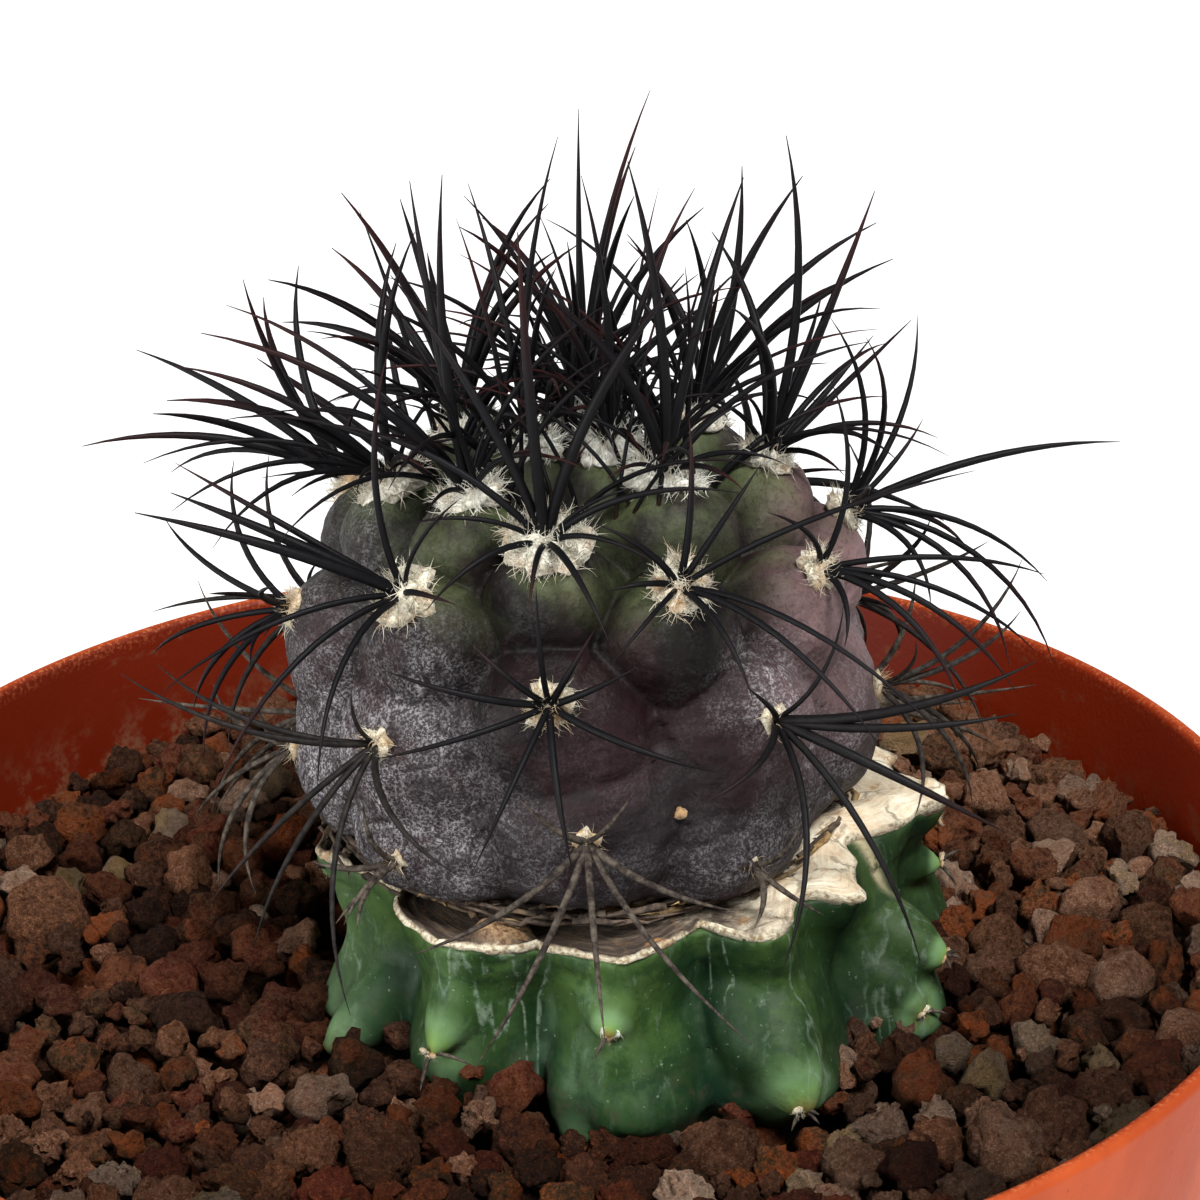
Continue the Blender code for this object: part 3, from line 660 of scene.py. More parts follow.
# %% Melt them into one skin
def stock_body():
    """Rootstock without tubercles; its ribs slope in to the edge of the cut."""
    azimuths = directions(STOCK_AROUND)
    slope = stock_radius(azimuths, STOCK_TOP) - cut_radius(azimuths)
    rows = []
    for height in np.linspace(STOCK_FOOT, STOCK_TOP - EDGE_SUNK, STOCK_ROWS):
        rise = np.clip((height - CUT_SHOULDER) / (STOCK_TOP - CUT_SHOULDER), 0, 1)
        radius = stock_radius(azimuths, height) - slope * rise
        rows.append(on_ring(azimuths, radius, height - hill(azimuths, *CUT_DROP) * rise))
    for share in CUT_RINGS:
        height = STOCK_TOP - CUT_SUNK - cut_depth(azimuths, share)
        rows.append(on_ring(azimuths, cut_radius(azimuths) * share, height))
    ends = on_ring(0, 0, STOCK_FOOT - 0.0015), on_ring(0, 0, STOCK_TOP - CUT_DISH[0][1] - 0.0004)
    return grid_mesh("stock_body", rows, ends)


def stock_mesh():
    """Body and tubercles melted into one skin, uneven, with its crests and tips marked."""
    body = stock_body()
    with edited(body) as bm:
        for peg in PEGS:
            root, aim = peg_frame(peg)
            turn = aim.to_track_quat("Z", "Y")
            ball = bmesh.ops.create_icosphere(bm, subdivisions=3, radius=1.0)
            for vertex in ball["verts"]:
                across = peg.radius * (1 - PEG_TAPER * vertex.co.z)
                local = Vector((vertex.co.x * across, vertex.co.y * across, vertex.co.z * peg.length))
                vertex.co = root + turn @ local

    def melt(helper):
        remesh = helper.modifiers.new("Melt", "REMESH")
        remesh.mode = "VOXEL"
        remesh.voxel_size = STOCK_VOXEL
        relax = helper.modifiers.new("Relax", "SMOOTH")
        relax.factor = 0.5
        relax.iterations = STOCK_RELAX

    mesh = evaluated_mesh(body, melt)
    points = mesh_points(mesh)
    azimuth, radius = stock_polar(points)
    (coarse, high), (fine, low) = STOCK_LUMPS
    wobble = rough(points, coarse) * high + rough(points * (1, 1, 0.35), fine) * low
    scale = 1 + wobble * (points[:, 2] < STOCK_TOP - STOCK_LEVEL_TOP) / np.maximum(radius, 0.002)
    points[:, :2] = STOCK_CENTRE + (points[:, :2] - STOCK_CENTRE) * scale[:, None]
    move_points(mesh, points)
    tips = np.array([root + aim * peg.length for peg in PEGS for root, aim in [peg_frame(peg)]])
    share, more = TIP_REACH
    reach = np.array([peg.length * (share + more * peg.droop) for peg in PEGS])
    to_tip = (np.linalg.norm(points[:, None] - tips, axis=2) / reach).min(axis=1)
    scar = hill(azimuth, *SCAR) * np.clip((points[:, 2] - SCAR_FOOT) / 0.002, 0, 1)
    store(mesh, crest=rib_share(azimuth), tip=np.clip(1 - to_tip, 0, 1), scar=scar)
    mesh.shade_smooth()
    return mesh


# %% [markdown]
# The skin is a deep waxy green. It is yellower on the crests and round the areoles, bluish and darker in the
# grooves, and has pale corky veins that run up and down. The edges of tall narrow cells give those veins.
# Painted highlights lie on the crests, round the tubercles' tips and on the left side, and painted shade
# deepens the grooves, the foot and the right side.
# Numbers kept on the mesh say where the crests and the areoles are.

# %% Green skin
def stock_finish():
    """Green skin with pale veins, yellower on its crests and tips, dusty at the grit, with painted light and
    shade.
    """
    finish = Finish("rootstock_skin", specular_ior_level=0.18, subsurface_weight=0.05, subsurface_scale=0.002)
    crest, tip, scar = finish.kept("crest", "tip", "scar")
    height = finish.axis("Z")
    mottle = finish.grain(150, 5, 0.62)
    brush = finish.grain(420, 4, 0.6, place=finish.drawn_out(0.20))
    # Darker in the grooves, lighter on the crests: partly the skin's own colour, partly painted shade in the
    # grooves.
    face = crest.between(0.0, 0.55) * 0.7 + mottle * 0.9 - 0.40
    finish.colour = finish.mix((0.006, 0.025, 0.009), (0.042, 0.092, 0.021), face)
    # A painted highlight along the crests.
    ridge_highlight = crest.between(0.60, 1.0) * brush.between(0.40, 0.66)
    finish.lay((0.085, 0.150, 0.045), ridge_highlight * 0.6)
    high = height.between(GRIT_LEVEL + 0.002, STOCK_TOP)
    finish.lay((0.090, 0.165, 0.040), high * mottle.between(0.42, 0.60) * 0.6)
    # A pale halo round each tip: partly the paler skin round the areoles, partly a painted highlight on the
    # tubercles.
    finish.lay((0.190, 0.330, 0.150), tip.between(0.05, 0.50) * (0.18 + mottle * 0.80))
    finish.lay((0.180, 0.320, 0.050), tip.between(0.42, 0.82) * 0.62)
    finish.lay((0.300, 0.170, 0.040), tip.between(0.66, 0.95) * mottle.between(0.46, 0.56) * 0.8)
    chalk = brush.between(0.46, 0.62) * finish.grain(80, 3).between(0.46, 0.60)
    finish.lay((0.085, 0.150, 0.085), chalk * 0.4)
    veins = finish.warped(finish.drawn_out(0.16), 420, 0.005)
    veins = 1 - finish.cell_edges(170, veins).between(0.003, 0.042)
    veins = veins * finish.grain(120, 3, place=finish.drawn_out(0.4)).between(0.46, 0.58)
    veins = veins * finish.grain(1100, 4, 0.75).between(0.38, 0.56)
    finish.lay((0.210, 0.290, 0.200), veins * 0.85)
    blotch = finish.grain(330, 5, 0.72, 0.5).between(0.44, 0.62) * (1 - tip.between(0.1, 0.5))
    finish.lay((0.006, 0.026, 0.011), blotch * 0.55)
    scurf = finish.grain(900, 5, 0.75, place=finish.drawn_out(0.35)).between(0.56, 0.66)
    finish.lay((0.130, 0.200, 0.120), scurf * crest.between(0.15, 0.70) * 0.50)
    # Painted shade low on the stump, where it meets the grit.
    foot = 1 - height.between(GRIT_LEVEL - 0.002, GRIT_LEVEL + 0.0065)
    finish.lay((0.003, 0.019, 0.011), foot * 0.62)
    low = 1 - height.between(GRIT_LEVEL, GRIT_LEVEL + 0.006)
    dusty = low * finish.grain(500, 4, 0.7).between(0.48, 0.66)
    finish.lay((0.050, 0.045, 0.022), dusty * 0.6)
    specks = finish.grain(1900, 2, 0.6).between(0.70, 0.74)
    finish.lay((0.25, 0.33, 0.24), specks * 0.5)
    across = finish.axis("X")
    shaded = across.between(0.004, 0.026) * (1 - tip.between(0.1, 0.4))
    finish.lay((0.004, 0.010, 0.004), shaded * 0.50)
    # Painted light on the left side of the stump.
    west_painted_light = 1 - across.between(-0.026, -0.008)
    finish.lay((0.170, 0.270, 0.140), west_painted_light * (0.26 + face.between(0.1, 0.7) * 0.40))
    scar = scar * finish.grain(700, 4, 0.7).between(0.32, 0.50)
    finish.lay((0.42, 0.36, 0.22), scar)
    finish.paint()
    finish.set("Roughness", 0.46 + mottle * 0.16 + veins * 0.3 + dusty * 0.3 + scar * 0.4)
    finish.bump(finish.grain(1500, 3) * 0.4 + veins * 0.5 + brush * 0.5 + scar * 0.8, 0.20, 0.0006)
    return finish


new_piece("rootstock_skin", stock_mesh(), stock_finish(), "rootstock")

# %% [markdown]
# ## The healed cut
#
# Where the stump was cut across, the plant has closed the wound with cork: a pale raised rim, a brown
# fibrous dish inside it, a broad tan filling on the right, and dead fibres where the copiapoa grew on. The
# cut is a disc of rings whose height follows a short profile and some noise. Its fibres run round, so the
# material reads two numbers from the mesh, the turn and the share of the radius, and stretches noise on them.

# %% Cork over the cut
CORK_AROUND = 260
CORK_THICKNESS = 0.0006
CORK_RISE = 0.00016
Scab = namedtuple("Scab", "azimuth share radius height tan")
# Lumps of cork: degrees, share of the cut's radius, their own radius, height and how tan they are.
SCABS = [
    Scab(-119, 0.89, 0.0022, 0.0019, 1.0),
    Scab(-171, 0.965, 0.0011, 0.0008, 0.0),
    Scab(-163, 0.95, 0.0012, 0.0008, 0.1),
    Scab(-1, 0.955, 0.0012, 0.0007, 0.2),
    Scab(-24, 0.93, 0.0011, 0.0005, 0.1),
    Scab(-66, 0.94, 0.0014, 0.0005, 0.4),
]


def from_scab(points, scab):
    """How far points are from the middle of a lump of cork, in its own radii."""
    middle = on_ring(scab.azimuth, cut_radius(scab.azimuth) * scab.share, 0.0)[:2]
    return np.linalg.norm(points[:, :2] - middle, axis=1) / scab.radius


def cork_mesh():
    """Disc of cork over the cut, closed below, with what its colour depends on."""
    shares = np.concatenate([np.linspace(0.3, 0.9, 26), np.linspace(0.91, 1.0, 18)])
    azimuths = directions(CORK_AROUND)
    filled = filled_share(azimuths)
    rows = []
    for share in shares:
        row = on_ring(azimuths, cut_radius(azimuths) * share, STOCK_TOP - cut_depth(azimuths, share))
        uneven = rough(row, 260) * (0.00025 + 0.00035 * filled) + rough(row, 1300) * 0.00016
        swell = filled * 0.0011 * hill(share, 0.84, 0.13)
        lip = CORK_RISE * np.clip((1.0 - share) / 0.012, -1, 1)
        row[:, 2] += uneven + swell + lip
        for scab in SCABS:
            away = from_scab(row, scab) + rough(row, 900) * 0.25
            row[:, 2] += scab.height * np.sqrt(np.clip(1 - away ** 2, 0, 1))
        edge = np.clip((share - 0.9) / 0.1, 0, 1)
        row[:, :2] += (row[:, :2] - STOCK_CENTRE) * (rough(row, 420) * 0.020 * edge)[:, None]
        rows.append(row)
    for share in CORK_RINGS:
        height = STOCK_TOP - cut_depth(azimuths, share) - CORK_THICKNESS
        rows.append(on_ring(azimuths, cut_radius(azimuths) * share, height))
    middle = STOCK_TOP - CUT_DISH[0][1]
    centre = on_ring(0, 0, middle + CORK_RISE), on_ring(0, 0, middle - CORK_THICKNESS)
    mesh = grid_mesh("cork", rows, centre)
    points = mesh_points(mesh)
    azimuth, distance = stock_polar(points)
    crust = sum(scab.tan * np.clip(1.5 - from_scab(points, scab), 0, 1) for scab in SCABS)
    store(mesh, share=distance / cut_radius(azimuth), turn=azimuth / 360, filled=filled_share(azimuth),
          scab=np.clip(crust, 0, 1))
    return mesh


def cork_finish():
    """Brown fibres in the dish, tan cork that fills it on the right, and a cream rim."""
    finish = Finish("cork", roughness=0.85)
    scab, share, turn, filled = finish.kept("scab", "share", "turn", "filled")
    around = finish.node("ShaderNodeCombineXYZ", {}, [turn * 26, share * 46, 0.0])
    fibre = finish.grain(1.0, 5, 0.7, 0.5, around)
    cloud = finish.grain(330, 5, 0.7)
    fine = finish.grain(2400, 4, 0.7)
    brown = finish.ramp(fibre * 0.7 + cloud * 0.3, (
        (0.34, (0.017, 0.011, 0.008)), (0.48, (0.062, 0.042, 0.029)), (0.64, (0.19, 0.138, 0.094))))
    tan = finish.ramp(fibre * 0.35 + cloud * 0.65, (
        (0.30, (0.260, 0.140, 0.055)), (0.42, (0.72, 0.560, 0.370)), (0.58, (0.95, 0.860, 0.660))))
    cream = finish.mix((0.26, 0.18, 0.09), (0.66, 0.60, 0.45), fine.between(0.35, 0.60))
    finish.colour = finish.mix(brown, tan, (filled + cloud * 0.8 - 0.55).between(0.05, 0.45))
    cracks = finish.cell_edges(240, finish.warped(finish.place, 340, 0.003))
    cracks = (1 - cracks.between(0.005, 0.050)) * cloud.between(0.44, 0.56)
    finish.lay((0.170, 0.095, 0.045), cracks * 0.65)
    finish.lay(cream, (share + cloud * 0.03).between(0.997, 1.008))
    burnt = finish.grain(260, 3, 0.6).between(0.60, 0.68) * fine.between(0.40, 0.56)
    finish.lay((0.46, 0.20, 0.045), burnt * 0.75)
    crust = finish.mix((0.13, 0.060, 0.024), (0.40, 0.25, 0.125), fine.between(0.38, 0.58))
    finish.lay(crust, scab.between(0.3, 0.8))
    finish.paint()
    finish.bump(fibre * 0.7 + fine * 0.4, 0.6, 0.0007)
    return finish


new_piece("healed_cut", cork_mesh(), cork_finish(), "rootstock")

# %% [markdown]
# ## The shape of the copiapoa
#
# The body is a globe of tubercles, each with one areole on its top. One outline turned round gives the
# globe. Every tubercle is then a dome round its own centre, and where two domes meet they leave a groove.
# The list of areoles was read from the photograph at the front. At the back the rows carry on.

# %% Outline, tubercles and areoles
SCION_CENTRE = (0.0045, -0.0010)
SCION_BASE = 0.0969
SCION_RADIUS = 0.0232
SCION_WAIST = 0.1080
SCION_CROWN = 0.1274
SCION_DEPTH = 0.0148
SCION_SHOULDER = 2.8
SCION_FLANK = 4.0
SCION_FOOT_RADIUS = 0.0180
SCION_FOOT_RISE = 0.0012
SCION_FIRST_ARC = 0.0012
TUBERCLE_REACH = 0.0078
TUBERCLE_DROP = 0.0020
GROOVE_CROWN = 0.0045
GROOVE_BASE = 0.0016
GROOVE_FADE = (0.019, 0.036)
SKIN_AROUND = 340
SKIN_ROWS = 160
CREASE_WIDTH = 0.0055
FOLD_WIDTH = 0.0010
FOLD_DEPTH = 0.00022
WOOL_HALO = 0.0035
# Unevenness of the skin, coarse and fine: scale and height. The grooves wander by a noise of their own.
SKIN_LUMPS = ((160, 0.00050), (620, 0.00020))
GROOVE_WANDER = (260, 0.0007)
# A belt of frost low down: the share of the way where it starts, the share it takes to grow, its strength.
FROST_BELT = (0.62, 0.30, 0.09)
FROST_MOST = 1.5
# Patches of frost, and bare ones: degrees, way down in metres, width in degrees, height in metres, strength.
FROST = [
    (-150, 0.0385, 32, 0.0095, 1.5), (-118, 0.0390, 16, 0.0060, 0.35), (-60, 0.0290, 12, 0.0045, 0.7),
    (-60, 0.0420, 22, 0.0040, 0.45), (-122, 0.0280, 12, 0.0055, 0.45), (-25, 0.0380, 25, 0.0080, 0.4),
    (20, 0.0370, 24, 0.0080, 0.9), (75, 0.0340, 26, 0.0080, 0.9), (130, 0.0380, 28, 0.0080, 1.0),
    (168, 0.0310, 20, 0.0080, 0.8), (-156, 0.0195, 20, 0.0060, 0.35), (-82, 0.0255, 20, 0.0085, -1.0),
    (-70, 0.0355, 12, 0.0045, -0.45), (-51, 0.0285, 8, 0.0030, 1.0), (-42, 0.0330, 7, 0.0045, 0.6),
]
CREASE_ARCS = (0.006, 0.014, 0.027, 0.038)
CREASE_DEPTHS = (0.0004, 0.0014, 0.0012, 0.0004)
FOLD_ARCS = (0.008, 0.014, 0.026, 0.034)
FOLD_SHARES = (0.3, 1.0, 0.8, 0.0)

Areole = namedtuple("Areole", "azimuth arc wool spines")
# Degrees round the axis (-90 faces the camera), metres along the body from the crown, radius of the wool.
HIDDEN_AREOLES = [
    (24, 0.0340, 0.0015), (22, 0.0430, 0.0009), (36, 0.0112, 0.0030), (54, 0.0182, 0.0024),
    (55, 0.0280, 0.0018), (55, 0.0392, 0.0013), (86, 0.0118, 0.0030), (88, 0.0222, 0.0023),
    (88, 0.0332, 0.0015), (88, 0.0430, 0.0009), (122, 0.0170, 0.0026), (122, 0.0278, 0.0018),
    (122, 0.0392, 0.0013), (148, 0.0106, 0.0030), (157, 0.0212, 0.0023), (157, 0.0330, 0.0015),
    (157, 0.0428, 0.0009),
]
# The others also have spines: an hour on a clock face laid on the body with 12 towards the crown, a lean
# from the outward direction in degrees, and a length in mm.
AREOLES = [
    Areole(-168, 0.0144, 0.0030, [(12, 30, 20), (10.5, 40, 19), (6.5, 35, 19), (6.8, 48, 19),
                                  (6, 56, 20), (5.4, 63, 19), (4.8, 70, 19), (2.5, 70, 12)]),
    Areole(-168, 0.0275, 0.0019, [(9.5, 45, 14), (7.5, 55, 16), (6.5, 62, 13), (5.5, 66, 14),
                                  (11, 62, 13), (2, 70, 11)]),
    Areole(-168, 0.0392, 0.0014, [(7, 45, 12), (6, 58, 14), (4.6, 72, 13), (9.5, 60, 11)]),
    Areole(-133, 0.0117, 0.0031, [(12, 12, 25), (10.6, 28, 24), (8.6, 50, 24), (7.8, 44, 24),
                                  (1, 50, 19), (3, 64, 15)]),
    Areole(-130, 0.0214, 0.0029, [(11.8, 55, 19), (9.3, 52, 20), (8.6, 38, 21), (9, 45, 19),
                                  (7.1, 58, 20), (6.3, 68, 21), (5.4, 68, 19), (3, 68, 8)]),
    Areole(-131, 0.0330, 0.0016, [(9.7, 60, 18), (9.8, 50, 20), (7.1, 52, 18), (6.4, 52, 18),
                                  (5.2, 58, 21), (3.9, 74, 14)]),
    Areole(-128, 0.0424, 0.0010, [(9, 62, 7), (7, 55, 7), (6, 48, 7), (5, 58, 7)]),
    Areole(-99, 0.0155, 0.0036, [(11.8, 24, 24), (10.5, 44, 23), (1.4, 42, 23), (9.6, 70, 20),
                                 (2.8, 72, 16), (5, 80, 13), (7.4, 80, 12)]),
    Areole(-96, 0.0279, 0.0021, [(10.4, 76, 8), (9.5, 74, 13), (8.5, 72, 14), (6.8, 54, 14),
                                 (5.6, 60, 13), (1, 70, 8), (2.1, 74, 8), (3.6, 76, 14)]),
    Areole(-90, 0.0385, 0.0013, [(8.3, 62, 16), (7.2, 50, 19), (5.8, 34, 16), (4.4, 52, 20),
                                 (3.5, 62, 13), (10.4, 78, 7)]),
    Areole(-48, 0.0096, 0.0033, [(12, 18, 24), (2, 36, 24), (10, 36, 20), (4, 52, 19),
                                 (7.6, 56, 14), (6, 70, 9)]),
    Areole(-68, 0.0201, 0.0029, [(10.2, 62, 9), (12.3, 50, 13), (1.6, 55, 11), (3.1, 50, 24),
                                 (4.9, 66, 24), (5.2, 68, 21), (5.8, 70, 12), (9, 72, 7)]),
    Areole(-53, 0.0315, 0.0015, [(2.4, 46, 20), (2.9, 42, 18), (4.3, 42, 19), (5.8, 50, 21),
                                 (7.1, 58, 20), (8.5, 72, 11), (10.6, 74, 6)]),
    Areole(-58, 0.0428, 0.0009, [(4, 60, 7), (8, 60, 6)]),
    Areole(-30, 0.0226, 0.0022, [(12.4, 58, 15), (4.4, 52, 18), (5.2, 58, 18), (5.8, 60, 18),
                                 (6.3, 66, 16), (7.4, 76, 8)]),
    Areole(-12, 0.0354, 0.0014, [(1.6, 48, 16), (2.5, 45, 15), (5, 55, 14), (6, 62, 13), (7.6, 70, 12)]),
    Areole(3, 0.0147, 0.0028, [(12.6, 20, 25), (3, 8, 22), (1.6, 46, 19), (10.4, 48, 20),
                               (4.2, 56, 17), (6.2, 60, 14), (8, 62, 15)]),
    Areole(4, 0.0228, 0.0021, [(5.5, 24, 23), (2.4, 24, 10), (1.4, 38, 17), (12.4, 60, 16),
                               (11.2, 57, 18), (5.4, 60, 13), (6.2, 54, 18), (6.4, 70, 22),
                               (6.8, 76, 19), (7.6, 80, 12)]),
    *(Areole(*place, None) for place in HIDDEN_AREOLES),
    Areole(-160, 0.0040, 0.0030, [(12, 10, 24), (9, 28, 21), (6, 40, 18), (3, 30, 20)]),
    Areole(-40, 0.0032, 0.0030, [(12, 12, 21), (3, 30, 21), (6, 42, 17), (9, 30, 18)]),
    Areole(84, 0.0044, 0.0030, [(7.6, 16, 26), (6, 6, 24), (3, 26, 20), (12, 30, 18)]),
]


def scion_outline():
    """Outline of the globe from the crown's centre down to its foot, as (radius, height)."""
    angles = np.pi / 2 * np.arange(160) / 160
    upper = SCION_RADIUS * np.sin(angles) ** (2 / SCION_SHOULDER)
    rise = SCION_WAIST + (SCION_CROWN - SCION_WAIST) * np.cos(angles) ** (2 / SCION_SHOULDER)
    lower = SCION_RADIUS * np.cos(angles) ** (2 / SCION_FLANK)
    fall = SCION_WAIST - SCION_DEPTH * np.sin(angles) ** (2 / SCION_FLANK)
    kept = fall >= SCION_BASE + SCION_FOOT_RISE
    return np.concatenate([upper, lower[kept]]), np.concatenate([rise, fall[kept]])


RADII, HEIGHTS = scion_outline()
STEPS = np.stack([np.diff(RADII), np.diff(HEIGHTS)], -1)
LENGTHS = np.linalg.norm(STEPS, axis=1)
ARCS = np.concatenate([[0.0], np.cumsum(LENGTHS)])
SLOPES = np.concatenate([STEPS / LENGTHS[:, None], STEPS[-1:] / LENGTHS[-1]])


def scion_surface(azimuth, arc):
    """Smooth globe before its tubercles: points and outward directions."""
    arc = np.clip(arc, 0, ARCS[-1])
    angle = np.radians(azimuth)
    flat = np.stack(np.broadcast_arrays(np.cos(angle), np.sin(angle), 0.0 * arc), -1)
    point = flat * np.interp(arc, ARCS, RADII)[..., None]
    point = point + (*SCION_CENTRE, 0.0)
    point[..., 2] = np.interp(arc, ARCS, HEIGHTS)
    normal = flat * -np.interp(arc, ARCS, SLOPES[:, 1])[..., None]
    normal[..., 2] = np.interp(arc, ARCS, SLOPES[:, 0])
    return point, normal


AREOLE_AZIMUTHS = np.array([areole.azimuth for areole in AREOLES], float)
AREOLE_ARCS = np.array([areole.arc for areole in AREOLES])
DROPS = TUBERCLE_DROP * np.minimum(1, AREOLE_ARCS / 0.012)
TUBERCLES = scion_surface(AREOLE_AZIMUTHS, AREOLE_ARCS + DROPS)[0]


def tubercle_point(azimuth, arc):
    """Points of the real skin: every tubercle is a dome, and two domes meet in a groove."""
    point, normal = scion_surface(azimuth, arc)
    nearest = np.linalg.norm(point[..., None, :] - TUBERCLES, axis=-1).min(axis=-1)
    fall = np.minimum(1, nearest / TUBERCLE_REACH) ** 2
    depth = np.interp(arc, GROOVE_FADE, (GROOVE_CROWN, GROOVE_BASE))
    return point - normal * (depth * fall)[..., None], normal


print(f"{len(AREOLES)} areoles, {ARCS[-1] * 1000:.1f} mm from the crown to the foot")

# %% [markdown]
# ## The skin
#
# The rule gives a point for any direction, so the skin is simply a fine grid of such points. A little noise
# keeps the domes from looking turned. The mesh also keeps what the colour depends on: the way down the body,
# the grooves, and the nearness of an areole.

# %% Fine grid of the skin
def creases(points):
    """Wide grooves between tubercles that stand side by side, and the thin fold round each tubercle."""
    away = np.linalg.norm(points[:, None] - TUBERCLES, axis=2)
    order = np.argsort(away, axis=1)[:, :2]
    nearest = np.take_along_axis(away, order, axis=1)
    across = TUBERCLES[order[:, 0]] - TUBERCLES[order[:, 1]]
    level = np.hypot(across[:, 0], across[:, 1]) / np.linalg.norm(across, axis=1)
    apart = nearest[:, 1] - nearest[:, 0]
    near = np.clip(1 - apart / CREASE_WIDTH, 0, 1)
    fold = np.clip(1 - apart / FOLD_WIDTH, 0, 1) * np.clip(nearest[:, 0] / 0.004, 0, 1)
    return near * near * (3 - 2 * near) * level ** 2, fold


def frost_share(azimuth, arc):
    """How much wax lies on the skin, from patches and a belt low down."""
    start, growth, most = FROST_BELT
    share = most * np.clip((arc / ARCS[-1] - start) / growth, 0, 1)
    for centre, way_down, width, height, strength in FROST:
        share = share + hill(azimuth, centre, width, strength) * np.exp(-((arc - way_down) / height) ** 2)
    return np.clip(share, 0, FROST_MOST)


def with_ends(values, foot, bottom=0.0):
    """Numbers of the grid's points, with those of the foot's ring and of the two end points."""
    return np.concatenate([np.full(SKIN_AROUND, foot), values.ravel(), [bottom, 0.0]])


def skin_mesh():
    """Skin of the copiapoa from its foot to the crown, with what its colour depends on."""
    azimuths = directions(SKIN_AROUND)
    arcs = np.linspace(ARCS[-1], SCION_FIRST_ARC, SKIN_ROWS)
    grid_azimuth, grid_arc = np.meshgrid(azimuths, arcs)
    points, normals = tubercle_point(grid_azimuth, grid_arc)
    flat = points.reshape(-1, 3)
    smooth = scion_surface(grid_azimuth, grid_arc)[0].reshape(-1, 3)
    scale, amount = GROOVE_WANDER
    wander = np.stack([rough(smooth + shift, scale) for shift in (0.0, 0.05, 0.10)], -1) * amount
    groove, fold = creases(smooth + wander)
    fold = fold * np.interp(grid_arc.ravel(), FOLD_ARCS, FOLD_SHARES)
    crease = groove * np.interp(grid_arc.ravel(), CREASE_ARCS, CREASE_DEPTHS)
    (coarse, high), (fine, low) = SKIN_LUMPS
    lumps = rough(flat, coarse) * high + rough(flat, fine) * low - crease - fold * FOLD_DEPTH
    points = points + normals * lumps.reshape(grid_arc.shape)[..., None]
    rows = [on_ring(azimuths, SCION_FOOT_RADIUS, SCION_BASE, SCION_CENTRE), *points]
    bottom = (*SCION_CENTRE, SCION_BASE)
    mesh = grid_mesh("copiapoa_skin", rows, (bottom, tubercle_point(np.array(0.0), np.array(0.0))[0]))
    place = mesh_points(mesh)
    roots = tubercle_point(AREOLE_AZIMUTHS, AREOLE_ARCS)[0]
    wool = np.array([areole.wool for areole in AREOLES])
    to_wool = (np.linalg.norm(place[:, None] - roots, axis=2) - wool).min(axis=1)
    east = (place[:, 0] - SCION_CENTRE[0]) / SCION_RADIUS
    store(mesh, down=with_ends(grid_arc / ARCS[-1], 1.0, 1.0), groove=with_ends(groove, 0.0),
          fold=with_ends(fold, 0.0), frost=with_ends(frost_share(grid_azimuth, grid_arc), 0.4),
          woolly=np.clip(1 - to_wool / WOOL_HALO, 0, 1), east=np.clip(east, 0, 1))
    return mesh


# %% [markdown]
# The colour runs down the body: olive near the crown, a dark brown purple at the waist, deepened there by
# painted shade under the upper tubercles, then a dusty purple grey. A frost of pale wax covers the lower
# half.
# It has come off in patches and is grainy, so it is a fine noise inside a coarse one. The right side is
# pinker, where the sun reached it, and paler from a painted highlight, and the upper left has painted light.
# Green shows round the youngest areoles and in the grooves between them, and painted shade darkens the
# grooves and folds.

